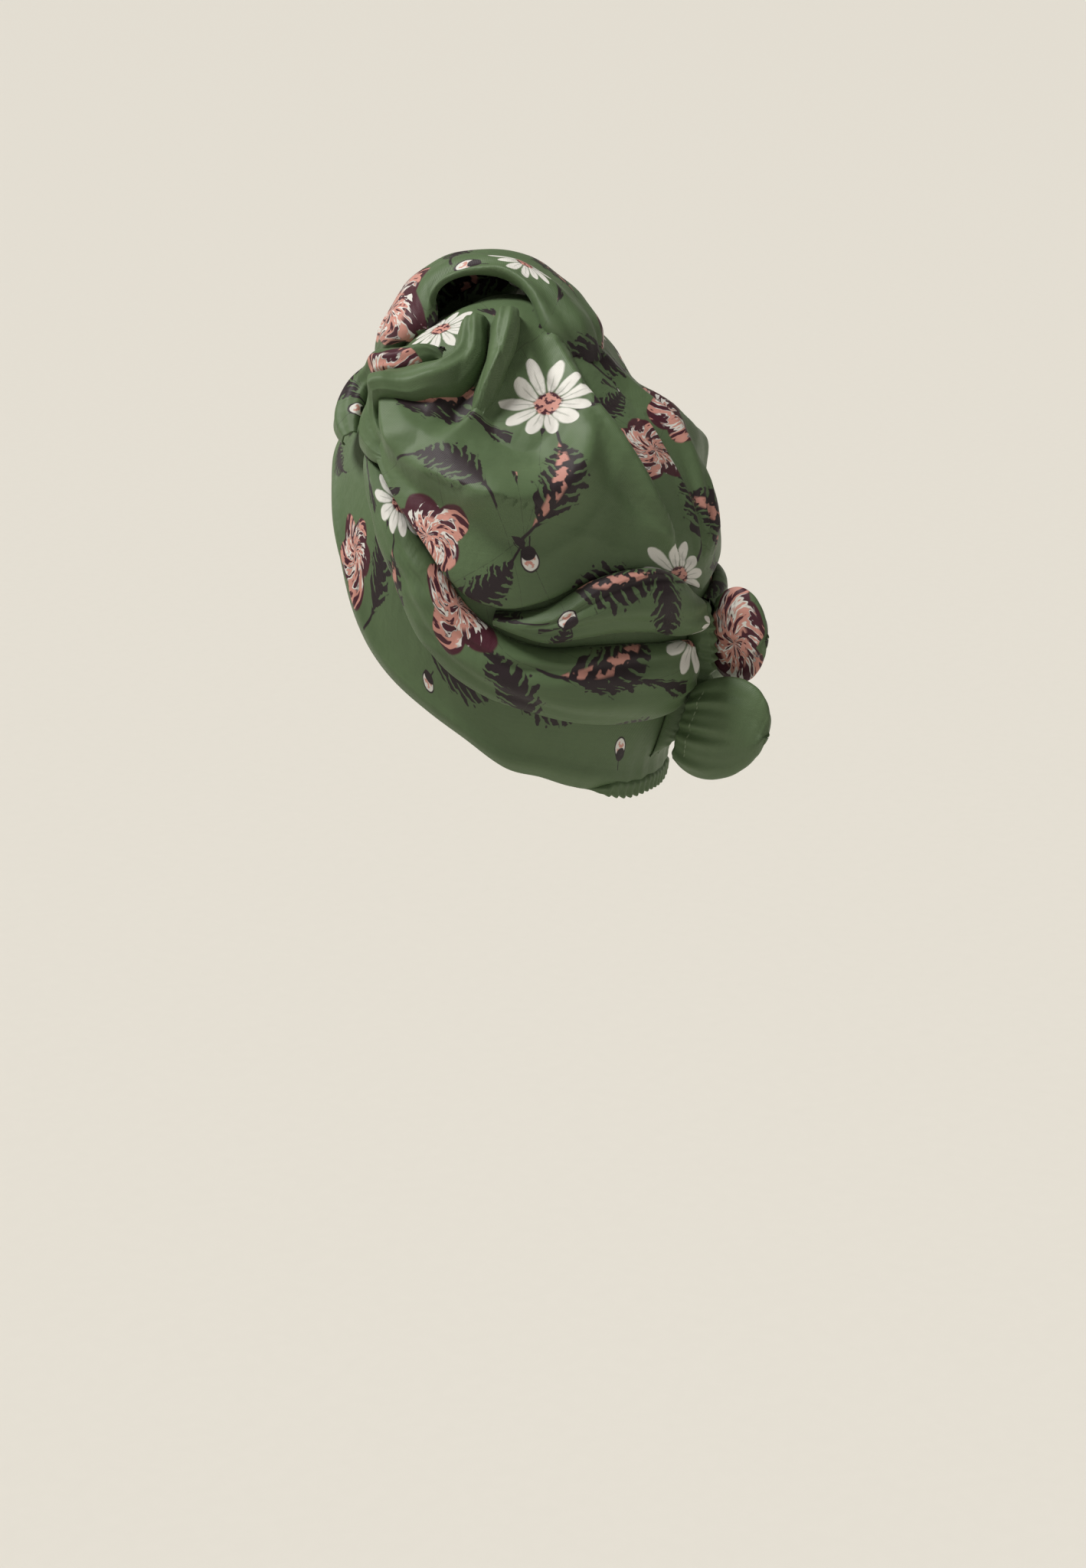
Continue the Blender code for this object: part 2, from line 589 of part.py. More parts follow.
def lobe(name, ruffle, colour):
    """A rounded pocket of cloth that stands out from the casing, open where it is gathered."""
    row = dict(zip(RUFFLE_COLUMNS, ruffle))
    ridge = SEAT_OUT + PLEAT_HEIGHT * casing_ridge(row["latitude"])
    root = on_head(180.0, row["latitude"], ridge - row["sunk"] * RUFFLE_THICKNESS)
    root = root + np.array((row["aside"] * RUFFLE_THICKNESS, 0, 0))
    turn, tilt = np.radians(row["turn"]), np.radians(row["tilt"])
    outward = np.array((np.sin(turn), np.cos(turn), 0.0))
    flat = np.array((np.cos(turn), -np.sin(turn), 0.0))
    upright = outward * np.sin(tilt) + np.array((0, 0, np.cos(tilt)))
    share = 1 - (1 - np.linspace(0, 1, LOBE_STEPS)) ** 1.5
    length = share * row["length"] * RUFFLE_LENGTH
    half_height = column(LOBE, LOBE_COLUMNS, "half_height")(share)
    half_height = half_height * row["height"] * RUFFLE_HEIGHT
    half_thick = column(LOBE, LOBE_COLUMNS, "half_thickness")(share)
    half_thick = half_thick * row["thickness"] * RUFFLE_THICKNESS / 2
    turned = np.arange(LOBE_ROUND) * 2 * np.pi / LOBE_ROUND
    points = (
        root
        + length[None, :, None] * outward
        + (np.sin(turned)[:, None] * half_height)[..., None] * upright
        + (np.cos(turned)[:, None] * half_thick)[..., None] * flat
    )
    cloth(name, points[::-1], colour, wrap=True, pole=True)


def main():
    """Builds the whole turban in an empty scene."""
    for old in list(bpy.data.objects):
        bpy.data.objects.remove(old)
    face_band()
    nape_frill()
    crown()
    roll("lower_swag_left", LOWER_SWAG, SWAG_LOFT, SWAG_CURL, GREEN)
    roll("lower_swag_right", LOWER_SWAG, SWAG_LOFT, SWAG_CURL, GREEN, side=-1)
    roll("back_pleat_left", BACK_PLEAT, SWAG_LOFT, ROLL_CURL, GREEN)
    roll("back_pleat_right", RIGHT_BACK_PLEAT, SWAG_LOFT, ROLL_CURL, GREEN)
    roll("front_roll", FRONT_ROLL, FRONT_ROLL_LOFT, ROLL_CURL, GREEN)
    strip("knot_hood", KNOT_HOOD, GREEN)
    pleat("long_pleat", LONG_PLEAT, PLEAT_HEIGHT, LONG_PLEAT_WIDTH, GREEN)
    pleat("short_pleat", SHORT_PLEAT, PLEAT_HEIGHT, SHORT_PLEAT_WIDTH, GREEN)
    pleat("front_loop", FRONT_LOOP, PLEAT_HEIGHT, FRONT_LOOP_WIDTH, GREEN)
    pleat("back_casing", CASING, PLEAT_HEIGHT, CASING_WIDTH, GREEN, band_height)
    lobe("ruffle_upper", UPPER_RUFFLE, PLUM)
    lobe("ruffle_lower", LOWER_RUFFLE, GREEN)


main()
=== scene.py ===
"""A draped and knotted turban in printed silk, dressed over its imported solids.

Every cloth piece starts as a flat grid with its own print, is draped in head coordinates
(azimuth round the head, latitude, and a height off the head) and gets its thickness last.
Lengths are in metres and angles in degrees unless a name says otherwise.
"""
import logging
import math
from dataclasses import dataclass
from enum import Enum
from functools import partialmethod

import bpy
import numpy as np
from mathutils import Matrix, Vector


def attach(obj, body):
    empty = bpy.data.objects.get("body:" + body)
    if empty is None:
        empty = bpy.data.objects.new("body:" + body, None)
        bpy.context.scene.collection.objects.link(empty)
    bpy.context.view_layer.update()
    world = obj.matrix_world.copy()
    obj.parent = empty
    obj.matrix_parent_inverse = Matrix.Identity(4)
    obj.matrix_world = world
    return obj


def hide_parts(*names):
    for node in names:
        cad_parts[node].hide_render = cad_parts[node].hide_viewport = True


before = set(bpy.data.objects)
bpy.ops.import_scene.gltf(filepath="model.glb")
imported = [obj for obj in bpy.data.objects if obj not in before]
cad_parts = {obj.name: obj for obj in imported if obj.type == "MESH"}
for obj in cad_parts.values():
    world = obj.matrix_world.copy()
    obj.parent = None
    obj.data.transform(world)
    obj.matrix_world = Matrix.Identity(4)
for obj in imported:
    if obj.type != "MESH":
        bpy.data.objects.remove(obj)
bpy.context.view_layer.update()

LOG = logging.getLogger("turban")
Array = np.ndarray
Row = tuple[float, ...]

# Cloth and how its layers lie on each other
CLOTH_WALL = 0.0015
SILK_THICKNESS = 0.0007
HEAD_EASE = 0.0012
LAYER_GAP = 0.0005
FACET_SLACK = 0.0008
BAND_OUT = HEAD_EASE + CLOTH_WALL
SEAT_OUT = BAND_OUT + LAYER_GAP
CROWN_LOFT = 0.012
SWAG_LOFT = 0.0165
FRONT_ROLL_LOFT = 0.016
PLEAT_HEIGHT = 0.0085
FOLD_HEIGHT = 0.010
FOLD_WIDTH = 0.011
NORMAL_STEP = 0.5
WELD = 1e-5
# How unequal the waves of a ripple are in length, and their usual peak
WAVE_LENGTHS = (0.7, 1.5)
WAVE_PEAK = 1.4

HEAD_COLUMNS = ("latitude", "half_length", "half_width", "centre")
HEAD_LEVELS: tuple[Row, ...] = (
    (-50, 0.58, 0.68, 0.12),
    (-42, 0.645, 0.72, 0.11),
    (-30, 0.83, 0.83, 0.03),
    (-15, 1.00, 0.955, -0.02),
    (0, 0.98, 1.00, 0.04),
    (15, 0.88, 0.955, 0.075),
    (30, 0.73, 0.85, 0.09),
    (45, 0.52, 0.65, 0.09),
    (60, 0.365, 0.43, 0.09),
    (75, 0.19, 0.22, 0.09),
    (90, 0.00, 0.00, 0.09),
)
EDGE_COLUMNS = ("azimuth", "rim", "lip", "lip_height", "loft")
# The left half from front to back, with the loft on the left and on the right
HALF_EDGES: tuple[Row, ...] = (
    (0, 29, 46.5, 0.60, 0.75, 0.75),
    (18, 28, 46, 0.60, 0.75, 0.75),
    (35, 24, 43.5, 0.65, 0.80, 0.80),
    (50, 17, 40, 0.80, 0.90, 0.90),
    (62, 6, 35, 1.00, 1.00, 1.00),
    (74, -7, 27, 1.10, 1.00, 1.00),
    (86, -18, 17, 1.08, 1.00, 1.00),
    (96, -24, 8, 1.10, 1.00, 1.00),
    (104, -28, 0, 1.12, 1.00, 1.00),
    (116, -34, -4, 1.10, 1.00, 1.00),
    (128, -36, -3, 0.85, 0.90, 0.90),
    (137, -38, -1, 0.55, 0.75, 0.70),
    (150, -40, 0, 0.50, 0.55, 0.50),
    (165, -42, -2, 0.50, 0.38, 0.38),
    (180, -42, -5, 0.50, 0.35, 0.35),
)
EDGES: tuple[Row, ...] = (
    *((-row[0], *row[1:4], row[5]) for row in HALF_EDGES[:0:-1]),
    *(row[:5] for row in HALF_EDGES),
)
FOLD_COLUMNS = (
    "azimuth_0", "latitude_0", "azimuth_1", "latitude_1", "azimuth_2", "latitude_2",
    "height_0", "height_1", "height_2", "left_width", "right_width",
)
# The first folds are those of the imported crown, a little sharper, and the rest are finer ones.
CROWN_FOLDS: dict[str, Row] = {
    "left_smile_front": (62, 36, 86, 28, 112, 20, 0.6, 0.95, 1.05, 1.5, 0.75),
    "left_smile_back": (112, 20, 134, 22, 149, 40, 1.05, 1.22, 0.35, 1.4, 0.85),
    "left_bowl": (104, 38, 120, 36, 136, 44, -0.3, -1.30, -0.5, 2.0, 2.0),
    "pleat_valley": (98, 60, 101, 42, 92, 33, -0.5, -0.9, -0.4, 0.8, 0.8),
    "back_valley": (168, 56, 168, 26, 174, -4, -0.5, -1.2, -0.9, 0.55, 0.55),
    "back_ridge": (-170, 52, -168, 26, -174, 2, 0.3, 0.58, 0.3, 0.8, 0.8),
    "back_fold": (150, 62, 156, 30, 166, 4, 0.35, 0.80, 0.5, 0.7, 0.45),
    "right_smile_front": (-62, 36, -88, 26, -114, 19, 0.4, 0.45, 0.50, 1.1, 1.4),
    "right_smile_back": (-114, 19, -136, 23, -150, 42, 0.60, 0.62, 0.10, 1.0, 1.5),
    "right_bowl": (-100, 40, -120, 37, -138, 45, -0.2, -0.9, -0.3, 1.9, 1.9),
    "right_pleat": (-98, 60, -104, 46, -110, 27, 0.3, 0.45, 0.1, 0.6, 0.6),
    "right_front_pleat": (-80, 58, -84, 47, -64, 38, 0.3, 0.5, 0.5, 0.6, 0.6),
    "fine_front_pull": (70, 44, 82, 36, 98, 31, 0.16, 0.22, 0.1, 0.35, 0.45),
    "fine_front_crease": (72, 32, 92, 22, 116, 10, -0.05, -0.16, -0.12, 0.45, 0.45),
    "fine_lip_pull": (120, 4, 136, 10, 152, 26, 0.08, 0.18, 0.1, 0.4, 0.5),
    "fine_bowl_pull": (118, 56, 126, 46, 132, 30, 0.05, 0.16, 0.1, 0.35, 0.4),
    "fine_back_pull": (146, 50, 151, 30, 162, 8, 0.06, 0.2, 0.22, 0.35, 0.4),
    "fine_right_pull": (-112, 54, -122, 30, -146, 6, 0.1, 0.2, 0.2, 0.4, 0.5),
    "fine_right_front": (-70, 44, -90, 34, -108, 12, 0.1, 0.2, 0.1, 0.4, 0.5),
    "fine_bowl_crease": (106, 30, 124, 27, 140, 36, -0.06, -0.16, -0.08, 0.3, 0.3),
    "fine_back_crease": (158, 46, 162, 26, 170, 6, -0.1, -0.24, -0.2, 0.25, 0.3),
    "fine_top_pull": (126, 62, 134, 54, 146, 34, 0.06, 0.18, 0.1, 0.3, 0.35),
    "fine_temple_pull": (60, 42, 72, 38, 84, 24, 0.1, 0.22, 0.12, 0.3, 0.35),
    "fine_front_fold": (58, 38, 74, 20, 92, 12, 0.14, 0.30, 0.1, 0.3, 0.3),
    "pleat_root": (112, 54, 107, 41, 96, 31, 0.10, 0.50, 0.15, 0.60, 0.40),
    "fine_front_valley": (64, 40, 78, 28, 100, 16, -0.14, -0.30, -0.12, 0.3, 0.3),
    "fine_knot_valley": (104, 62, 104, 50, 98, 38, -0.25, -0.45, -0.2, 0.4, 0.4),
    "fine_knot_ridge": (106, 44, 98, 36, 84, 30, 0.1, 0.28, 0.2, 0.4, 0.5),
}
ROLL_COLUMNS = ("azimuth", "middle", "half_width", "height", "upper_seat")
LOWER_SWAG: tuple[Row, ...] = (
    (66, 27.0, 2.0, 0.22, 0.0),
    (76, 19.5, 4.5, 0.50, 0.0),
    (86, 9.0, 7.0, 0.69, 0.0),
    (96, -1.5, 7.2, 0.81, 0.0),
    (106, -9.4, 6.2, 0.86, 0.0),
    (116, -13.8, 5.6, 0.86, 0.0),
    (128, -16.4, 5.6, 0.86, 0.0),
    (141, -17.4, 6.6, 0.89, 0.0),
    (154, -17.9, 6.8, 0.86, 0.0),
    (165, -18.2, 6.4, 0.76, 0.0),
    (171, -18.0, 6.0, 0.69, 0.0),
    (175.5, -17.8, 5.4, 0.61, 0.0),
)
BACK_PLEAT: tuple[Row, ...] = (
    (115, -5.9, 1.0, 0.41, 0.00),
    (120, -6.5, 1.5, 0.56, 0.00),
    (128, -6.7, 2.8, 0.79, 0.12),
    (137, -4.6, 4.2, 0.91, 0.24),
    (146, -3.4, 5.0, 0.91, 0.24),
    (156, -3.8, 5.2, 0.87, 0.24),
    (165, -5.8, 4.6, 0.76, 0.22),
    (171, -7.4, 3.6, 0.67, 0.16),
    (175.5, -8.2, 3.0, 0.61, 0.10),
)
RIGHT_BACK_PLEAT: tuple[Row, ...] = (
    (-175.5, -8.6, 2.2, 0.43, 0.0),
    (-168, -7.8, 2.6, 0.41, 0.0),
    (-152, -6.8, 2.9, 0.37, 0.0),
    (-138, -7.0, 2.4, 0.37, 0.0),
    (-124, -7.4, 1.6, 0.33, 0.0),
    (-115, -6.6, 0.8, 0.26, 0.0),
)
FRONT_ROLL: tuple[Row, ...] = (
    (-60, 27.6, 2.0, 0.30, 0.0),
    (-52, 31.0, 3.4, 0.55, 0.0),
    (-36, 34.5, 4.4, 0.62, 0.0),
    (-12, 37.0, 4.6, 0.62, 0.0),
    (12, 37.0, 4.6, 0.62, 0.0),
    (32, 34.8, 4.4, 0.60, 0.0),
    (43, 33.0, 3.0, 0.40, 0.0),
)
HOOD_COLUMNS = ("across", "along", "up", "width", "left_curl", "right_curl", "lean")
KNOT_HOOD: tuple[Row, ...] = (
    (0.08, -0.505, 0.572, 0.45, 56, 50, -12),
    (0.07, -0.500, 0.650, 0.62, 74, 66, -12),
    (0.05, -0.472, 0.745, 0.82, 90, 82, -10),
    (0.00, -0.385, 0.865, 0.92, 90, 88, -6),
    (-0.04, -0.250, 0.950, 1.00, 68, 84, -2),
    (-0.06, -0.105, 0.978, 1.00, 40, 80, 0),
    (-0.08, 0.060, 0.972, 1.00, 28, 76, 2),
    (-0.08, 0.200, 0.925, 0.95, 26, 70, 4),
    (-0.06, 0.330, 0.858, 0.85, 34, 60, 4),
    (-0.04, 0.440, 0.760, 0.66, 50, 54, 4),
    (-0.03, 0.480, 0.640, 0.50, 56, 56, 4),
)
PLEAT_COLUMNS = ("azimuth", "latitude", "height", "width", "curl")
LONG_PLEAT: tuple[Row, ...] = (
    (118, 73, -0.30, 0.45, 95),
    (117, 69, 0.90, 0.70, 100),
    (115, 61, 1.05, 0.80, 105),
    (112, 53, 0.80, 0.80, 103),
    (109.5, 46, 0.42, 0.70, 98),
    (107.5, 41, -0.05, 0.50, 92),
    (106, 37.5, -0.75, 0.32, 90),
)
SHORT_PLEAT: tuple[Row, ...] = (
    (90, 71, -0.30, 0.40, 95),
    (92, 67, 0.88, 0.50, 100),
    (97, 57, 1.10, 0.58, 105),
    (92, 49.5, 1.05, 0.68, 105),
    (83, 45.5, 0.95, 0.76, 105),
    (76, 43.0, 0.88, 0.72, 105),
    (70, 40.0, 0.80, 0.62, 105),
    (67.5, 36.2, 0.62, 0.52, 103),
    (69.5, 32.2, 0.34, 0.50, 98),
    (76, 29.2, -0.10, 0.42, 94),
    (82, 28.0, -0.70, 0.30, 90),
)
FRONT_LOOP: tuple[Row, ...] = (
    (82, 56, -0.40, 0.40, 95),
    (76, 54, 0.62, 0.66, 100),
    (68, 49, 1.00, 0.90, 105),
    (57, 46, 1.10, 1.00, 105),
    (50, 41, 1.10, 1.00, 105),
    (51, 36, 1.00, 1.15, 105),
    (57, 31.5, 0.80, 1.10, 105),
    (63, 28.5, 0.40, 0.60, 100),
)
CASING: tuple[Row, ...] = (
    (180, -6.5, 0.60, 0.80, 100),
    (180, -12, 1.25, 1.00, 105),
    (180, -18, 1.48, 1.05, 105),
    (180, -25, 1.36, 1.05, 105),
    (180, -31, 0.60, 0.95, 100),
    (180, -35, -0.10, 0.80, 92),
)
RUFFLE_COLUMNS = ("latitude", "aside", "sunk", "length", "height", "thickness", "turn", "tilt")
UPPER_RUFFLE: Row = (-11.6, -0.533, 0.200, 0.58, 0.854, 0.833, 0, 0)
LOWER_RUFFLE: Row = (-25.6, 0.558, 0.133, 1.00, 1.000, 1.000, 5, 17)
LOBE_COLUMNS = ("share", "half_height", "half_thickness")
LOBE: tuple[Row, ...] = (
    (0.00, 0.36, 0.60),
    (0.12, 0.43, 0.85),
    (0.35, 0.50, 1.00),
    (0.60, 0.48, 0.90),
    (0.80, 0.38, 0.70),
    (0.93, 0.235, 0.50),
    (0.98, 0.125, 0.32),
    (1.00, 0.005, 0.10),
)
# The crown's lip, inside to outside: degrees above its lowest point and share of its height
LIP_TUCK: tuple[Row, ...] = ((5.0, 0.0), (2.6, 0.30), (0.6, 0.68), (0.8, 0.93))
LIP_RISE = 3.6


class Held(Enum):
    """How a sheet of cloth is kept in its shape."""

    DRAPED = "draped"
    GATHERED = "gathered"
    FOLDED = "folded"
    STRETCHED = "stretched"


class Motif(Enum):
    """The generic drawings that the silk is printed with."""

    DAISY = "Daisy Print"
    ROSETTE = "Rosette Print"
    SPRIG = "Sprig Print"
    LEAF = "Leaf Print"
    BUD = "Bud Print"


def spline(x: Array, knots: Array, values: Array) -> Array:
    """A smooth curve through values at knots.

    Args:
        x: Where the curve is read, one dimension.
        knots: Rising positions of the values.
        values: One row of values for each knot.

    Returns:
        One row of values for each x.
    """
    knots, values = np.asarray(knots, float), np.asarray(values, float)
    shape = (-1,) + (1,) * (values.ndim - 1)
    x = np.clip(np.asarray(x, float), knots[0], knots[-1])
    gaps = np.diff(knots).reshape(shape)
    slopes = np.diff(values, axis=0) / gaps
    inner = (slopes[1:] * gaps[:-1] + slopes[:-1] * gaps[1:]) / (gaps[:-1] + gaps[1:])
    tangents = np.concatenate((slopes[:1], inner, slopes[-1:]))
    i = np.clip(np.searchsorted(knots, x, side="right") - 1, 0, len(knots) - 2)
    t = (x - knots[i]) / (knots[i + 1] - knots[i])
    if values.ndim > 1:
        t = t.reshape(shape)
    gap = gaps[i] if values.ndim > 1 else gaps.reshape(-1)[i]
    return (
        (1 + 2 * t) * (1 - t) ** 2 * values[i]
        + t * (1 - t) ** 2 * gap * tangents[i]
        + t * t * (3 - 2 * t) * values[i + 1]
        + t * t * (t - 1) * gap * tangents[i + 1]
    )


def read(table: tuple[Row, ...], columns: tuple[str, ...], name: str, x: Array) -> Array:
    """One named column of a table.

    Args:
        table: The table, whose first column rises.
        columns: The names of its columns.
        name: The column that is read.
        x: Where it is read, as values of the first column.

    Returns:
        One value for each x.
    """
    rows = np.array(table, float)
    x = np.asarray(x, float)
    flat = spline(x.reshape(-1), rows[:, 0], rows[:, columns.index(name)])
    return flat.reshape(x.shape)


def read_along(table: tuple[Row, ...], columns: tuple[str, ...], steps: int) -> dict[str, Array]:
    """Every column of a table, read at even steps from its first row to its last.

    Args:
        table: The table.
        columns: The names of its columns.
        steps: How many steps there are.

    Returns:
        The values of each column by its name.
    """
    rows = np.array(table, float)
    at = spline(np.linspace(0, len(rows) - 1, steps), np.arange(len(rows)), rows)
    return {name: at[:, n] for n, name in enumerate(columns)}


def within_turn(azimuth: Array) -> Array:
    """An azimuth as one between -180 and 180."""
    return (azimuth + 180) % 360 - 180


def ease(share: Array) -> Array:
    """A share from 0 to 1 that starts and ends gently."""
    share = np.clip(share, 0, 1)
    return share * share * (3 - 2 * share)


def ripple(points: Array, size: float, seed: int, waves: int = 9) -> Array:
    """Soft, irregular waves in space, between about -1 and 1.

    Args:
        points: Places in metres, with three values on the last axis.
        size: Length of a wave in metres.
        seed: Which set of waves is drawn.
        waves: How many waves are added up.

    Returns:
        One value for each point.
    """
    draw = np.random.default_rng(seed)
    total = np.zeros(points.shape[:-1])
    for _ in range(waves):
        way = draw.normal(size=3)
        way *= 2 * math.pi / (size * draw.uniform(*WAVE_LENGTHS) * np.linalg.norm(way))
        total += np.sin(points @ way + draw.uniform(0, 2 * math.pi))
    return total / math.sqrt(waves) / WAVE_PEAK


@dataclass(frozen=True)
class HeadForm:
    """The form that the turban keeps when it is worn."""

    length: float = 0.186
    width: float = 0.152
    crown_height: float = 0.092
    nape_reach: float = 0.150

    def surface(self, azimuth: Array, latitude: Array) -> Array:
        """Points on the bare form.

        Args:
            azimuth: Degrees round the head, with 0 at the front and 90 on the left.
            latitude: Degrees above the brow.

        Returns:
            A point for each pair of them.
        """
        half_length, half_width, centre = (
            read(HEAD_LEVELS, HEAD_COLUMNS, column, latitude) * size / 2
            for column, size in zip(HEAD_COLUMNS[1:], (self.length, self.width, self.length))
        )
        turn = np.radians(azimuth)
        reach = np.where(latitude > 0, self.crown_height, self.nape_reach)
        x = half_width * np.sin(turn)
        y = centre - half_length * np.cos(turn)
        return np.stack((x, y, reach * np.sin(np.radians(latitude))), axis=-1)

    def normal(self, azimuth: Array, latitude: Array) -> Array:
        """Directions straight out of the form.

        Args:
            azimuth: Degrees round the head.
            latitude: Degrees above the brow.

        Returns:
            A direction of length 1 for each pair of them.
        """
        near = np.minimum(latitude, 90 - 3 * NORMAL_STEP)
        step = NORMAL_STEP
        along = self.surface(azimuth + step, near) - self.surface(azimuth - step, near)
        up = self.surface(azimuth, near + step) - self.surface(azimuth, near - step)
        out = np.cross(along, up)
        return out / np.linalg.norm(out, axis=-1, keepdims=True)

    def at(self, azimuth: Array, latitude: Array, height: Array) -> Array:
        """Points at a height off the form.

        Args:
            azimuth: Degrees round the head.
            latitude: Degrees above the brow.
            height: Metres off the form.

        Returns:
            A point for each place, with its three values on the last axis.
        """
        azimuth, latitude, height = np.broadcast_arrays(azimuth, latitude, height)
        azimuth, latitude = azimuth.astype(float), latitude.astype(float)
        return self.surface(azimuth, latitude) + self.normal(azimuth, latitude) * height[..., None]


HEAD = HeadForm()


class Field:
    """A number in a node tree, which plain arithmetic turns into Math nodes."""

    def __init__(self, tree: bpy.types.NodeTree, socket: bpy.types.NodeSocket) -> None:
        """Keeps the tree and the socket that gives the number."""
        self.tree = tree
        self.socket = socket

    def math(self, operation: str, *others: "Field | float") -> "Field":
        """A Math node on this number and the others.

        Args:
            operation: The Math node's operation.
            *others: Its other inputs.

        Returns:
            The node's result.
        """
        node = self.tree.nodes.new("ShaderNodeMath")
        node.operation = operation
        self.tree.links.new(self.socket, node.inputs[0])
        for place, other in enumerate(others, 1):
            if isinstance(other, Field):
                self.tree.links.new(other.socket, node.inputs[place])
            else:
                node.inputs[place].default_value = other
        return Field(self.tree, node.outputs[0])

    __add__ = partialmethod(math, "ADD")
    __sub__ = partialmethod(math, "SUBTRACT")
    __mul__ = partialmethod(math, "MULTIPLY")
    __truediv__ = partialmethod(math, "DIVIDE")
    __abs__ = partialmethod(math, "ABSOLUTE")

    def below(self, edge: "Field | float", soft: float) -> "Field":
        """1 where the number is under the edge and 0 over it, with a soft step between.

        Args:
            edge: Where the step is.
            soft: How wide it is.

        Returns:
            The step as a number.
        """
        gap = (self * -1.0 + edge) / soft + 0.5
        node = self.tree.nodes.new("ShaderNodeClamp")
        self.tree.links.new(gap.socket, node.inputs[0])
        return Field(self.tree, node.outputs[0])


class Shading:
    """Short calls that add nodes to a tree."""

    def __init__(self, tree: bpy.types.NodeTree) -> None:
        """Keeps the tree."""
        self.tree = tree

    def node(self, kind: str, **settings: object) -> bpy.types.Node:
        """A new node.

        Args:
            kind: The node's type.
            **settings: Its settings by name.

        Returns:
            The node.
        """
        made = self.tree.nodes.new(kind)
        for name, value in settings.items():
            setattr(made, name, value)
        return made

    def feed(self, socket: bpy.types.NodeSocket, value: object) -> None:
        """Links a socket or a field to an input, or sets its plain value.

        Args:
            socket: The input.
            value: What it gets.
        """
        if isinstance(value, Field):
            value = value.socket
        if isinstance(value, bpy.types.NodeSocket):
            self.tree.links.new(value, socket)
        elif value is not None:
            socket.default_value = value

    def field(self, socket: bpy.types.NodeSocket) -> Field:
        """The number that a socket gives."""
        return Field(self.tree, socket)

    def split(self, vector: object) -> list[Field]:
        """The three parts of a vector.

        Args:
            vector: A socket that gives it.

        Returns:
            Its parts in order.
        """
        node = self.node("ShaderNodeSeparateXYZ")
        self.feed(node.inputs[0], vector)
        return [self.field(out) for out in node.outputs]

    def join(self, x: object, y: object) -> bpy.types.NodeSocket:
        """A flat vector of two numbers.

        Args:
            x: The first.
            y: The second.

        Returns:
            The socket that gives the vector.
        """
        node = self.node("ShaderNodeCombineXYZ")
        self.feed(node.inputs[0], x)
        self.feed(node.inputs[1], y)
        return node.outputs[0]

    def noise(self, vector: object, scale: float, detail: float = 2.0) -> Field:
        """Smooth noise from 0 to 1.

        Args:
            vector: Where it is read.
            scale: How many blots fit in a unit.
            detail: How many finer layers it has.

        Returns:
            The noise.
        """
        node = self.node("ShaderNodeTexNoise")
        self.feed(node.inputs["Vector"], vector)
        node.inputs["Scale"].default_value = scale
        node.inputs["Detail"].default_value = detail
        return self.field(node.outputs[0])

    def mix(self, under: object, over: object, share: object) -> bpy.types.NodeSocket:
        """One colour over another.

        Args:
            under: The lower colour.
            over: The upper colour.
            share: How much the upper one covers, from 0 to 1.

        Returns:
            The socket that gives the colour.
        """
        node = self.node("ShaderNodeMix", data_type="RGBA")
        self.feed(node.inputs[0], share)
        self.feed(node.inputs[6], under)
        self.feed(node.inputs[7], over)
        return node.outputs[2]

    def group(self, name: str, *values: object) -> bpy.types.Node:
        """A node group placed in this tree.

        Args:
            name: The group's name.
            *values: What its inputs get, in order.

        Returns:
            The group's node.
        """
        node = self.node("ShaderNodeGroup")
        node.node_tree = bpy.data.node_groups[name]
        for socket, value in zip(node.inputs, values):
            self.feed(socket, value)
        return node


def new_group(
    name: str, inputs: dict[str, str], outputs: dict[str, str]
) -> tuple[Shading, dict, dict]:
    """An empty node group.

    Args:
        name: The group's name.
        inputs: Socket names and kinds that go in.
        outputs: Socket names and kinds that come out.

    Returns:
        The group's shading, its input sockets and its output sockets by name.
    """
    tree = bpy.data.node_groups.new(name, "ShaderNodeTree")
    for label, kind in inputs.items():
        tree.interface.new_socket(label, in_out="INPUT", socket_type=f"NodeSocket{kind}")
    for label, kind in outputs.items():
        tree.interface.new_socket(label, in_out="OUTPUT", socket_type=f"NodeSocket{kind}")
    shading = Shading(tree)
    start, end = shading.node("NodeGroupInput"), shading.node("NodeGroupOutput")
    return (
        shading,
        {label: start.outputs[label] for label in inputs},
        {label: end.inputs[label] for label in outputs},
    )


Colour = tuple[float, float, float, float]


@dataclass(frozen=True)
class PrintInks:
    """The inks of the print, as linear colours."""

    ground: Colour = (0.101, 0.153, 0.071, 1)
    ground_deep: Colour = (0.064, 0.102, 0.046, 1)
    petal: Colour = (0.66, 0.645, 0.605, 1)
    petal_shade: Colour = (0.30, 0.31, 0.27, 1)
    pink: Colour = (0.53, 0.25, 0.205, 1)
    plum: Colour = (0.055, 0.009, 0.018, 1)
    leaf: Colour = (0.018, 0.010, 0.013, 1)


INKS = PrintInks()
FULL_TURN = 2 * math.pi
Layer = tuple[Colour, Field]


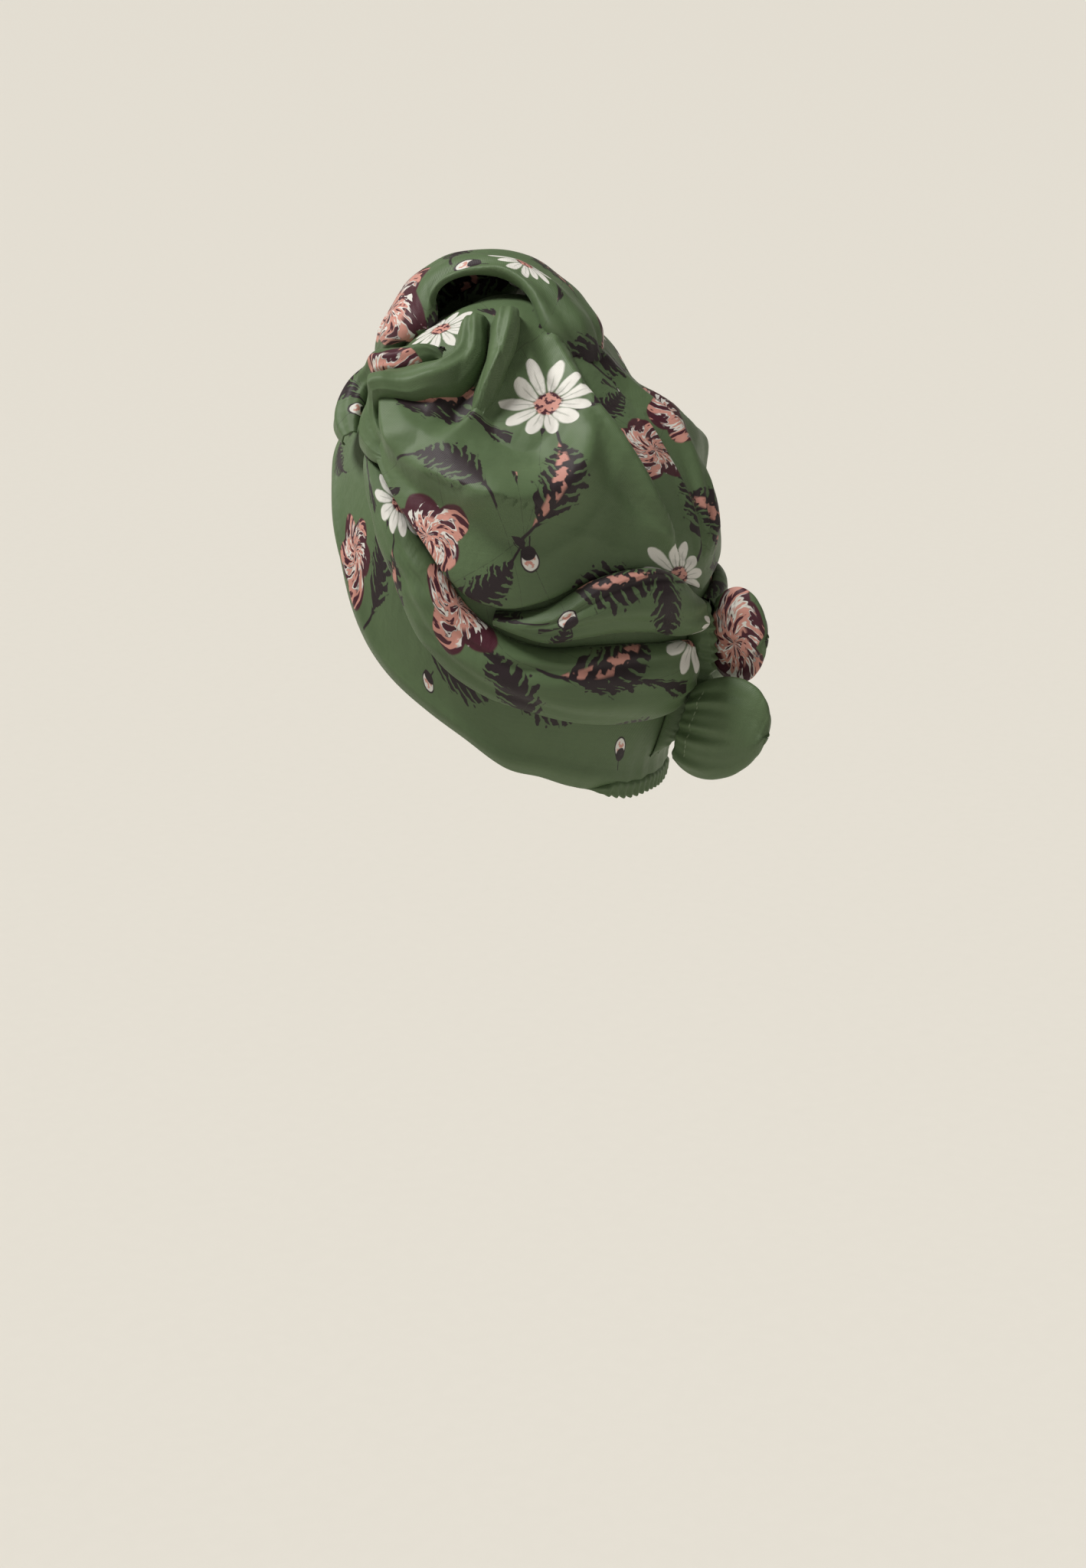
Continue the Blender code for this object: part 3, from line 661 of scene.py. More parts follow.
class Drawing:
    """One motif's node group, which prints itself over a colour.

    A motif's own coordinates run from -1 to 1, whatever its size on the cloth, and are a little
    uneven, as if drawn by hand.
    """

    WOBBLE = 0.10

    def __init__(self, motif: Motif, scale: float) -> None:
        """Opens the group.

        Args:
            motif: Which drawing it is.
            scale: How fine the unevenness is.
        """
        self.shading, self.given, self.made = new_group(
            motif.value, {"Place": "Vector", "Under": "Color"}, {"Color": "Color"}
        )
        x, y, _ = self.shading.split(self.given["Place"])
        shake = self.noise(scale)
        sway = self.shading.noise(self.shading.join(y + 7.3, x + 2.1), scale)
        self.x = x + (shake - 0.5) * self.WOBBLE
        self.y = y + (sway - 0.5) * self.WOBBLE

    def noise(self, scale: float, detail: float = 2.0) -> Field:
        """Smooth noise over the motif."""
        return self.shading.noise(self.given["Place"], scale, detail)

    def paint(self, *layers: Layer) -> None:
        """Prints inks over the cloth's colour.

        Args:
            *layers: Each ink and where it goes, from the lowest up.
        """
        colour = self.given["Under"]
        for ink, share in layers:
            colour = self.shading.mix(colour, ink, share)
        self.shading.feed(self.made["Color"], colour)


@dataclass(frozen=True)
class PrintMotifs:
    """The generic drawings on the silk."""

    petals: int = 11
    soft: float = 0.035
    eye_size: float = 0.16

    def daisy(self) -> None:
        """Uneven white petals round a pink eye with dark stamens."""
        draw = Drawing(Motif.DAISY, 2.2)
        reach = (draw.x * draw.x + draw.y * draw.y).math("SQRT")
        turn = draw.y.math("ARCTAN2", draw.x) * (self.petals / FULL_TURN)
        index = turn.math("FLOOR")
        aside = abs(turn - index - 0.5) * reach * (FULL_TURN / self.petals)
        luck = draw.shading.node("ShaderNodeTexWhiteNoise", noise_dimensions="1D")
        draw.shading.feed(luck.inputs["W"], index)
        length = draw.shading.field(luck.outputs[0]) * 0.30 + 0.70
        share = (reach - self.eye_size) / (length - self.eye_size)
        bulge = (share * (share * -1.0 + 1.0) * 4.0).math("MAXIMUM", 0.0).math("SQRT")
        petal = aside.below(bulge * (share * 0.095 + 0.095) - 0.022, self.soft)
        crease = aside.below(0.010, 0.02) * share.below(0.62, 0.2) * petal
        tip_shade = draw.noise(5.0, 3.0).below(0.40, 0.08) * share.below(0.45, 0.3)
        eye_noise = draw.noise(9.0, 3.0)
        draw.paint(
            (INKS.petal, petal),
            (INKS.petal_shade, (crease + tip_shade * petal * 0.5) * 0.75),
            (INKS.pink, reach.below(eye_noise * 0.16 + 0.14, self.soft)),
            (INKS.plum, eye_noise.below(0.47, 0.05) * reach.below(0.24, 0.06)),
        )

    def rosette(self) -> None:
        """A full bloom of pink and white brush strokes on plum."""
        draw = Drawing(Motif.ROSETTE, 2.0)
        reach = (draw.x * draw.x + draw.y * draw.y).math("SQRT")
        turn = draw.y.math("ARCTAN2", draw.x)
        edge = abs((turn * 2.5).math("SINE")) * 0.24 + (turn * 3.0 + 1.2).math("SINE") * 0.08 + 0.66
        bloom = reach.below(edge, self.soft)
        twisted = turn + reach * 1.4
        place = draw.shading.node("ShaderNodeCombineXYZ")
        for socket, value in zip(place.inputs, (
            twisted.math("COSINE") * 1.6, twisted.math("SINE") * 1.6, reach * 1.5
        )):
            draw.shading.feed(socket, value)
        stroke = draw.shading.noise(place.outputs[0], 1.6, 2.5)
        ring = draw.noise(3.1)
        white = abs(stroke - 0.50).below(ring * 0.12 - 0.036, 0.02) * reach.below(0.70, 0.1)
        core = abs(ring - 0.50).below(0.035, 0.02) * reach.below(0.36, 0.08)
        draw.paint(
            (INKS.plum, bloom),
            (INKS.pink, abs(stroke - 0.575).below(0.055, 0.02) * bloom),
            (INKS.petal, white * bloom),
            (INKS.pink, core * bloom),
        )

    def sprig(self, motif: Motif, blushing: float) -> None:
        """A bent stem of feathered leaves in dark ink.

        Args:
            motif: Which of the two sprigs it is.
            blushing: How much pink it has.
        """
        draw = Drawing(motif, 1.7)
        bent = draw.y - draw.x * draw.x * 0.28
        swell = ((draw.x * 0.5 + 0.5) * (FULL_TURN / 2)).math("SINE").math("MAXIMUM", 0.0)
        ragged = draw.noise(4.5)
        barbs = (draw.x * 4.4 - abs(bent) * 4.6 + ragged * 1.6).math("FRACT")
        inside = abs(bent).below(swell * (ragged * 0.74 + 0.08), 0.03)
        solid = abs(bent).below(swell * 0.16, 0.10) * 0.45
        leaf = inside * barbs.below(ragged * 0.9 + solid + 0.18, 0.08)
        stem = abs(bent).below(0.032, 0.02) * abs(draw.x).below(1.35, 0.04)
        blush = abs(bent - 0.05).below(swell * blushing, 0.05) * ragged.below(0.50, 0.05)
        draw.paint((INKS.leaf, leaf.math("MAXIMUM", stem)), (INKS.pink, blush * inside * 0.9))

    def bud(self) -> None:
        """A small white bud in a dark cup."""
        draw = Drawing(Motif.BUD, 2.4)
        x, y = draw.x, draw.y
        round_off = (x * x * 1.9 + y * y * 1.1).math("SQRT")
        cup = (x * x * 2.2 + (y + 0.42) * (y + 0.42) * 2.4).math("SQRT").below(0.62, 0.05)
        stem = abs(x - y * 0.2).below(0.045, 0.03) * y.below(-0.3, 0.05) * abs(y).below(1.3, 0.05)
        draw.paint(
            (INKS.leaf, round_off.below(0.72, 0.05).math("MAXIMUM", stem)),
            (INKS.petal, round_off.below(0.60, 0.05)),
            (INKS.pink, draw.noise(3.0).below(0.48, 0.06) * round_off.below(0.45, 0.1)),
            (INKS.leaf, cup),
        )

    def build(self) -> None:
        """Makes every motif's group."""
        self.daisy()
        self.rosette()
        self.sprig(Motif.SPRIG, 0.13)
        self.sprig(Motif.LEAF, -0.2)
        self.bud()


@dataclass(frozen=True)
class PrintLayout:
    """Where each motif falls on the repeat of the cloth.

    A placement is the motif, its middle as shares of the repeat, its radius in metres, its turn
    in degrees and how much its second axis is squeezed.
    """

    width: float = 0.168
    height: float = 0.150
    name: str = "Silk Repeat"
    placements: tuple[tuple[Motif, float, float, float, float, float], ...] = (
        (Motif.SPRIG, 0.10, 0.56, 0.023, 24, 1.0),
        (Motif.LEAF, 0.30, 0.90, 0.024, -38, 1.0),
        (Motif.LEAF, 0.86, 0.46, 0.023, 118, 1.0),
        (Motif.SPRIG, 0.44, 0.36, 0.021, 84, 1.0),
        (Motif.SPRIG, 0.66, 0.86, 0.022, -12, 1.0),
        (Motif.LEAF, 0.62, 0.10, 0.024, 196, 1.0),
        (Motif.LEAF, 0.97, 0.98, 0.020, 60, 1.0),
        (Motif.LEAF, 0.20, 0.36, 0.017, 160, 1.0),
        (Motif.LEAF, 0.52, 0.70, 0.016, 65, 1.0),
        (Motif.LEAF, 0.80, 0.80, 0.018, -75, 1.0),
        (Motif.LEAF, 0.30, 0.04, 0.018, 40, 1.0),
        (Motif.ROSETTE, 0.68, 0.60, 0.025, 10, 0.82),
        (Motif.ROSETTE, 0.14, 0.18, 0.021, 140, 0.9),
        (Motif.DAISY, 0.36, 0.62, 0.024, 15, 0.86),
        (Motif.DAISY, 0.82, 0.17, 0.023, 70, 1.0),
        (Motif.DAISY, 0.02, 0.78, 0.018, 200, 0.7),
        (Motif.BUD, 0.54, 0.82, 0.0075, 30, 1.0),
        (Motif.BUD, 0.40, 0.14, 0.0075, 200, 1.0),
        (Motif.BUD, 0.93, 0.66, 0.007, 120, 1.0),
    )

    @classmethod
    def for_band(cls) -> "PrintLayout":
        """The sparse part of the cloth that the band is cut from.

        Returns:
            Its layout.
        """
        return cls(0.56, 0.16, "Band Repeat", (
            (Motif.ROSETTE, 0.667, 0.11, 0.018, 60, 0.9),
            (Motif.LEAF, 0.705, 0.19, 0.018, 100, 1.0),
            (Motif.BUD, 0.767, 0.09, 0.006, 160, 1.0),
            (Motif.LEAF, 0.80, 0.185, 0.022, 8, 1.0),
            (Motif.SPRIG, 0.867, 0.20, 0.020, -25, 1.0),
            (Motif.BUD, 0.935, 0.11, 0.006, 20, 1.0),
            (Motif.LEAF, 0.583, 0.07, 0.014, 20, 1.0),
            (Motif.DAISY, 0.486, 0.07, 0.014, 20, 0.9),
            (Motif.LEAF, 0.41, 0.07, 0.015, 160, 1.0),
            (Motif.DAISY, 0.333, 0.13, 0.018, 50, 0.9),
            (Motif.SPRIG, 0.256, 0.11, 0.020, 100, 1.0),
            (Motif.LEAF, 0.194, 0.16, 0.020, -10, 1.0),
            (Motif.ROSETTE, 0.11, 0.12, 0.020, 200, 0.9),
            (Motif.BUD, 0.04, 0.11, 0.006, 70, 1.0),
        ))

    def build(self) -> None:
        """Makes the group that prints the whole repeat over a ground colour."""
        shading, given, made = new_group(
            self.name, {"Place": "Vector", "Under": "Color"}, {"Color": "Color"}
        )
        colour = given["Under"]
        half = (self.width / 2, self.height / 2, 1)
        for motif, across, up, radius, turn, squeeze in self.placements:
            place = given["Place"]
            for kind, settings, values in (
                ("ShaderNodeVectorMath", {"operation": "SUBTRACT"},
                 {1: (across * self.width, up * self.height, 0)}),
                ("ShaderNodeVectorMath", {"operation": "WRAP"},
                 {1: half, 2: tuple(-size for size in half)}),
                ("ShaderNodeVectorRotate", {"rotation_type": "Z_AXIS"},
                 {"Angle": -math.radians(turn)}),
                ("ShaderNodeVectorMath", {"operation": "MULTIPLY"},
                 {1: (1 / radius, 1 / (radius * squeeze), 0)}),
            ):
                step = shading.node(kind, **settings)
                shading.feed(step.inputs[0], place)
                for socket, value in values.items():
                    step.inputs[socket].default_value = value
                place = step.outputs[0]
            colour = shading.group(motif.value, place, colour).outputs[0]
        shading.feed(made["Color"], colour)


@dataclass(frozen=True)
class SilkWeave:
    """The cloth's own surface: twill lines, faint creases and the uneven ground colour."""

    name: str = "Silk Weave"
    twill_step: float = 0.0007
    crease_size: float = 0.012
    crumple_size: float = 0.0055

    def build(self) -> None:
        """Makes the group, which gives the ground colour, the roughness and the relief."""
        shading, given, made = new_group(
            self.name,
            {"Place": "Vector"},
            {"Ground": "Color", "Roughness": "Float", "Relief": "Float"},
        )
        x, y, _ = shading.split(given["Place"])
        twill = ((x + y) * (FULL_TURN / self.twill_step)).math("SINE") * 0.5 + 0.5
        slub = shading.noise(shading.join(x * 40.0, y * 900.0), 1.0, 1.0)
        crease = shading.noise(given["Place"], 1 / self.crease_size, 3.0)
        crumple = shading.noise(shading.join(x, y * 0.45), 1 / self.crumple_size, 2.0)
        cloud = shading.noise(given["Place"], 28.0, 2.0)
        ground = shading.mix(INKS.ground_deep, INKS.ground, cloud * 0.7 + slub * 0.3)
        shading.feed(made["Ground"], ground)
        shading.feed(made["Roughness"], crease * 0.10 + slub * 0.08 + 0.42)
        shading.feed(made["Relief"], crease * 1.00 + crumple * 0.45 + twill * 0.06 + slub * 0.08)


def new_surface(
    name: str, values: dict[str, object]
) -> tuple[bpy.types.Material, Shading, bpy.types.Node]:
    """A material with its shader.

    Args:
        name: The material's name.
        values: What the shader's own sockets get, by name.

    Returns:
        The material, its shading and its shader.
    """
    made = bpy.data.materials.new(name)
    made.use_nodes = True
    surface = made.node_tree.nodes["Principled BSDF"]
    for socket, value in values.items():
        surface.inputs[socket].default_value = value
    return made, Shading(made.node_tree), surface


@dataclass(frozen=True)
class Silk:
    """A silk satin twill finish, printed or plain."""

    name: str
    print_name: str = ""
    relief: float = 0.0013
    relief_strength: float = 0.65
    specular: float = 0.32
    sheen: float = 0.09
    sheen_roughness: float = 0.35
    sheen_tint: Colour = (0.75, 0.85, 0.65, 1)

    def material(self) -> bpy.types.Material:
        """The finish as a material on the piece's own cloth coordinates.

        Returns:
            The material.
        """
        made, shading, surface = new_surface(self.name, {
            "Specular IOR Level": self.specular,
            "Sheen Weight": self.sheen,
            "Sheen Roughness": self.sheen_roughness,
            "Sheen Tint": self.sheen_tint,
        })
        place = shading.node("ShaderNodeUVMap", uv_map=ClothPiece.UV_NAME).outputs[0]
        weave = shading.group(SilkWeave.name, place)
        colour = weave.outputs["Ground"]
        if self.print_name:
            colour = shading.group(self.print_name, place, colour).outputs[0]
        bump = shading.node("ShaderNodeBump")
        bump.inputs["Strength"].default_value = self.relief_strength
        bump.inputs["Distance"].default_value = self.relief
        shading.feed(bump.inputs["Height"], weave.outputs["Relief"])
        shading.feed(surface.inputs["Base Color"], colour)
        shading.feed(surface.inputs["Roughness"], weave.outputs["Roughness"])
        shading.feed(surface.inputs["Normal"], bump.outputs[0])
        return made


def select_only(piece: bpy.types.Object) -> None:
    """Makes one object the active one and the only one selected.

    Args:
        piece: The object.
    """
    bpy.ops.object.select_all(action="DESELECT")
    piece.select_set(True)
    bpy.context.view_layer.objects.active = piece


@dataclass
class ClothPiece:
    """A sheet of silk that starts as a flat grid and is draped into place.

    Each kind of piece gives its own draped grid, and the rest is the same for all.
    """

    node: str
    cut: tuple[float, float]
    cut_area: float
    held: Held = Held.FOLDED
    rests_on: tuple[str, ...] = ("face_band",)
    print_shift: tuple[float, float] = (0.0, 0.0)
    print_turn: float = 0.0
    sided: bool = False

    UV_NAME = "Cloth"
    SIDE_RISE = 0.35
    SIDE_BACK = 0.10
    SIDE_MIDDLE = (0, 0.006, -0.01)

    def points(self) -> Array:
        """The draped grid, which each kind of piece gives."""
        raise NotImplementedError

    def cloth_places(self, points: Array) -> Array:
        """Where each grid point lies on the flat cloth, from lengths along the grid.

        Args:
            points: The draped grid.

        Returns:
            The places, with two values on the last axis.
        """
        along = np.linalg.norm(np.diff(points, axis=0), axis=2).mean(axis=1)
        up = np.linalg.norm(np.diff(points, axis=1), axis=2).mean(axis=0)
        u = np.concatenate(([0], np.cumsum(along)))
        v = np.concatenate(([0], np.cumsum(up)))
        return np.stack(np.broadcast_arrays(u[:, None], v[None, :]), axis=-1)

    def side_places(self, points: Array, side: int) -> Array:
        """Where each point lies on a flat cloth smoothed over one side of the head.

        Args:
            points: The draped grid.
            side: 1 for the left and -1 for the right.

        Returns:
            The places, with two values on the last axis.
        """
        rise = self.SIDE_RISE
        centre = np.array((side * math.cos(rise), self.SIDE_BACK, math.sin(rise)))
        centre /= np.linalg.norm(centre)
        level = np.cross((0, 0, 1.0), centre)
        level /= np.linalg.norm(level)
        upright = np.cross(centre, level)
        way = points - np.array(self.SIDE_MIDDLE)
        reach = np.linalg.norm(way, axis=-1)
        way = way / reach[..., None]
        tilt = np.arccos(np.clip(way @ centre, -1, 1))
        flat = np.stack((way @ level, way @ upright), axis=-1)
        flat /= np.maximum(np.linalg.norm(flat, axis=-1, keepdims=True), 1e-9)
        return flat * (tilt * HEAD.length / 2)[..., None]

    def place_print(self, mesh: bpy.types.Mesh, points: Array, order: Array) -> None:
        """Gives every face corner its place on the flat cloth.

        Args:
            mesh: The piece's mesh.
            points: The draped grid.
            order: Which grid point each of the mesh's points is.
        """
        corner = np.zeros(len(mesh.loops), np.int32)
        mesh.loops.foreach_get("vertex_index", corner)
        corner = order[corner]
        if self.sided:
            quads = corner.reshape(-1, 4)
            middle = points.reshape(-1, 3)[quads, 0].mean(axis=1) > 0
            left, right = (
                self.side_places(points, side).reshape(-1, 2)[corner] for side in (1, -1)
            )
            places = np.where(np.repeat(middle, 4)[:, None], left, right)
        else:
            places = self.cloth_places(points).reshape(-1, 2)[corner]
        turn = math.radians(self.print_turn)
        spin = np.array(((math.cos(turn), math.sin(turn)), (-math.sin(turn), math.cos(turn))))
        places = places @ spin + np.array(self.print_shift)
        layer = mesh.uv_layers.active or mesh.uv_layers.new()
        layer.name = self.UV_NAME
        layer.data.foreach_set("uv", places.astype(np.float32).reshape(-1))

    def build(self, material: bpy.types.Material) -> None:
        """Makes, drapes, thickens and dresses the piece, which rides on the head.

        Args:
            material: The silk it is made of.
        """
        points = self.points()
        columns, rows = points.shape[:2]
        bpy.ops.object.select_all(action="DESELECT")
        bpy.ops.mesh.primitive_grid_add(
            x_subdivisions=columns - 1, y_subdivisions=rows - 1, size=1, calc_uvs=True
        )
        piece = bpy.context.active_object
        piece.name = piece.data.name = f"{self.node}_silk"
        mesh = piece.data
        flat = np.zeros(len(mesh.vertices) * 3, np.float32)
        mesh.vertices.foreach_get("co", flat)
        flat = flat.reshape(-1, 3)
        i = np.rint((flat[:, 0] + 0.5) * (columns - 1)).astype(int)
        k = np.rint((flat[:, 1] + 0.5) * (rows - 1)).astype(int)
        order = i * rows + k
        mesh.vertices.foreach_set("co", points.reshape(-1, 3)[order].reshape(-1))
        self.place_print(mesh, points, order)
        mesh.update()
        select_only(piece)
        bpy.ops.object.mode_set(mode="EDIT")
        bpy.ops.mesh.select_all(action="SELECT")
        bpy.ops.mesh.remove_doubles(threshold=WELD)
        bpy.ops.object.mode_set(mode="OBJECT")
        wall = piece.modifiers.new("Thickness", "SOLIDIFY")
        wall.thickness = SILK_THICKNESS
        wall.offset = -1.0
        wall.use_rim = True
        bpy.ops.object.modifier_apply(modifier=wall.name)
        bpy.ops.object.shade_smooth()
        mesh.materials.clear()
        mesh.materials.append(material)
        area = sum(face.area for face in mesh.polygons) / 2
        LOG.info("%s: %d faces, %.4f m2 of silk, cut %.4f",
                 piece.name, len(mesh.polygons), area, self.cut_area)
        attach(piece, "root")
        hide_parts(self.node)


@dataclass(kw_only=True)
class Crown(ClothPiece):
    """The main cloth over the head, with its overhanging lip and its folds."""

    node: str = "crown"
    cut: tuple[float, float] = (0.42, 0.22)
    cut_area: float = 0.046
    held: Held = Held.DRAPED
    print_shift: tuple[float, float] = (0.02, 0.03)
    sided: bool = True
    around: int = 320
    up: int = 120
    lip_rows: int = 16
    pole_latitude: float = 86.0
    crisp: float = 1.65
    fold_samples: int = 33
    gather_azimuth: float = 178.0
    gather_latitude: float = -6.0
    gather_reach: float = 36.0
    gather_depth: float = 0.0011
    gather_free: tuple[float, float] = (3.0, 8.0)
    gather_counts: tuple[int, int] = (22, 37)
    settle_rate: float = 3.0
    dome_from: float = 0.55
    dome_over: float = 0.45
    calm_lip: float = 6.0
    calm_top: float = 12.0
    broad_wave: tuple[float, float] = (0.034, 0.0010)
    fine_wave: tuple[float, float] = (0.015, 0.00045)

    def fold(self, azimuth: Array, latitude: Array, fold: Row) -> Array:
        """The height that one fold adds.

        Args:
            azimuth: Degrees round the head.
            latitude: Degrees above the brow.
            fold: The fold's row.

        Returns:
            A height for each place.
        """
        row = dict(zip(FOLD_COLUMNS, fold))
        steps = np.linspace(0, 1, self.fold_samples)
        blend = ((1 - steps) * (1 - 2 * steps), 4 * steps * (1 - steps), steps * (2 * steps - 1))
        line_azimuth = sum(b * row[f"azimuth_{n}"] for n, b in enumerate(blend))
        line_latitude = sum(b * row[f"latitude_{n}"] for n, b in enumerate(blend))
        heights = sum(b * row[f"height_{n}"] for n, b in enumerate(blend))
        radius = HEAD.length / 2
        turn = np.radians(within_turn(azimuth[..., None] - line_azimuth))
        narrowing = np.cos(np.radians(np.clip(line_latitude, 0, 80)))
        across = turn * narrowing * radius
        up = np.radians(latitude[..., None] - line_latitude) * radius
        nearest = np.argmin(across**2 + up**2, axis=-1)[..., None]
        across = np.take_along_axis(across, nearest, -1)[..., 0]
        up = np.take_along_axis(up, nearest, -1)[..., 0]
        nearest = nearest[..., 0]
        step_across = (np.radians(np.gradient(line_azimuth)) * narrowing * radius)[nearest]
        step_up = (np.radians(np.gradient(line_latitude)) * radius)[nearest]
        slide = (across * step_across + up * step_up) / (step_across**2 + step_up**2)
        slide = np.clip(slide, -0.5, 0.5)
        across, up = across - slide * step_across, up - slide * step_up
        side = step_across * up - step_up * across
        width = np.where(side > 0, row["left_width"], row["right_width"]) * FOLD_WIDTH
        away = np.sqrt(across**2 + up**2) / width
        height = np.interp(nearest + slide, np.arange(len(heights)), heights)
        return height * FOLD_HEIGHT * np.exp(-(away**self.crisp))

    def gathers(self, azimuth: Array, latitude: Array) -> Array:
        """Small pleats that fan out from the gather at the back.

        Args:
            azimuth: Degrees round the head.
            latitude: Degrees above the brow.

        Returns:
            The height they add at each place.
        """
        turn = within_turn(azimuth - self.gather_azimuth)
        rise = latitude - self.gather_latitude
        fan = np.degrees(np.arctan2(rise, np.abs(turn) + 1e-3))
        reach = np.hypot(turn, rise)
        free, over = self.gather_free
        near = ease((reach - free) / over) * np.exp(-((reach / self.gather_reach) ** 2))
        wide, small = (np.radians(fan) * count for count in self.gather_counts)
        pleats = np.sin(wide) + 0.5 * np.sin(small + 1)
        return near * pleats * self.gather_depth

    def height(self, azimuth: Array, latitude: Array) -> Array:
        """How far the crown's cloth stands off the head.

        Args:
            azimuth: Degrees round the head.
            latitude: Degrees above the brow.

        Returns:
            A height for each place.
        """
        azimuth = within_turn(np.asarray(azimuth, float))
        lip, lip_height, loft = (
            read(EDGES, EDGE_COLUMNS, c, azimuth) for c in ("lip", "lip_height", "loft")
        )
        lip_height = lip_height * CROWN_LOFT
        start = lip + LIP_RISE
        share = np.clip((latitude - start) / (self.pole_latitude - start), 0, 1)
        settle = ease(share * self.settle_rate)
        domed = ease((share - self.dome_from) / self.dome_over)
        above = CROWN_LOFT * (loft + (1 - loft) * domed)
        folds = sum(self.fold(azimuth, latitude, fold) for fold in CROWN_FOLDS.values())
        calm = np.clip((latitude - start) / self.calm_lip, 0, 1)
        calm = calm * np.clip((90 - latitude) / self.calm_top, 0, 1)
        places = HEAD.surface(azimuth, latitude)
        (broad, broad_deep), (fine, fine_deep) = self.broad_wave, self.fine_wave
        waves = ripple(places, broad, 3) * broad_deep
        waves = waves + ripple(places * (1, 1, 0.6), fine, 5) * fine_deep
        waves = waves + self.gathers(azimuth, latitude)
        height = lip_height + (above - lip_height) * settle + (folds + waves) * calm
        return np.maximum(height, SEAT_OUT + CLOTH_WALL)

    def points(self) -> Array:
        """The draped grid of the crown.

        Returns:
            Columns round the head and rows from the tucked lip to the top.
        """
        around = np.linspace(-180, 180, self.around + 1)
        lip = read(EDGES, EDGE_COLUMNS, "lip", around)
        lip_height = read(EDGES, EDGE_COLUMNS, "lip_height", around) * CROWN_LOFT
        tuck_latitude = [lip + rise for rise, _ in LIP_TUCK]
        tuck_height = [SEAT_OUT + share * (lip_height - SEAT_OUT) for _, share in LIP_TUCK]
        start = lip + LIP_RISE
        first = (self.pole_latitude - start) / 13
        for step in (0, 1):
            tuck_latitude.append(start + first * step)
            tuck_height.append(self.height(around, tuck_latitude[-1]))
        knots = np.arange(len(tuck_latitude))
        at = np.linspace(0, len(LIP_TUCK), self.lip_rows)[:-1]
        latitude = list(spline(at, knots, np.stack(tuck_latitude)))
        height = list(spline(at, knots, np.stack(tuck_height)))
        for share in np.linspace(0, 1, self.up + 1):
            latitude.append(start + (90 - start) * share)
            height.append(self.height(around, latitude[-1]))
        latitude, height = np.stack(latitude, axis=1), np.stack(height, axis=1)
        return HEAD.at(np.broadcast_to(around[:, None], latitude.shape), latitude, height)

    def seat(self, azimuth: Array, latitude: Array) -> Array:
        """A height that clears the crown."""
        return self.height(azimuth, latitude) + FACET_SLACK


@dataclass(kw_only=True)
class Band(ClothPiece):
    """The fitted band round face and nape, with its rolled rim."""

    node: str = "face_band"
    cut: tuple[float, float] = (0.55, 0.12)
    cut_area: float = 0.040
    held: Held = Held.STRETCHED
    rests_on: tuple[str, ...] = ()
    around: int = 300
    rows: tuple[float, ...] = (0.0, 0.07, 0.16, 0.42, 0.70, 1.0)
    swells: tuple[float, ...] = (0, 1.0, 0, 0, 0, 0)
    row_count: int = 30
    rim_roll: float = 0.0020
    roll_from: float = 45.0
    roll_over: float = 20.0
    top_rise: float = 8.0
    pull_depth: float = 0.00035
    pulls_from: float = 125.0
    pulls_over: float = 45.0
    pull_middle: float = 0.10
    pull_spread: float = 0.12

    def points(self) -> Array:
        """The draped grid of the band.

        Returns:
            Columns round the head and rows from the rim up.
        """
        around = np.linspace(-180, 180, self.around + 1)
        rim = read(EDGES, EDGE_COLUMNS, "rim", around)
        top = read(EDGES, EDGE_COLUMNS, "lip", around) + self.top_rise
        shown = np.clip((np.abs(around) - self.roll_from) / self.roll_over, 0, 1) * self.rim_roll
        at = np.linspace(0, len(self.rows) - 1, self.row_count)
        share = spline(at, np.arange(len(self.rows)), np.array(self.rows))
        swell = np.clip(spline(at, np.arange(len(self.rows)), np.array(self.swells)), 0, 1)
        latitude = rim[:, None] + (top - rim)[:, None] * share[None, :]
        azimuth = np.broadcast_to(around[:, None], latitude.shape)
        turn = np.radians(around)
        pulls = np.sin(turn * 46 + 2.5 * np.sin(turn * 5)) * (0.6 + 0.4 * np.sin(turn * 11))
        pulls = pulls * ease((np.abs(around) - self.pulls_from) / self.pulls_over)
        low = np.exp(-(((share - self.pull_middle) / self.pull_spread) ** 2))
        height = BAND_OUT + shown[:, None] * swell + (pulls[:, None] * low) * self.pull_depth
        return HEAD.at(azimuth, latitude, height)


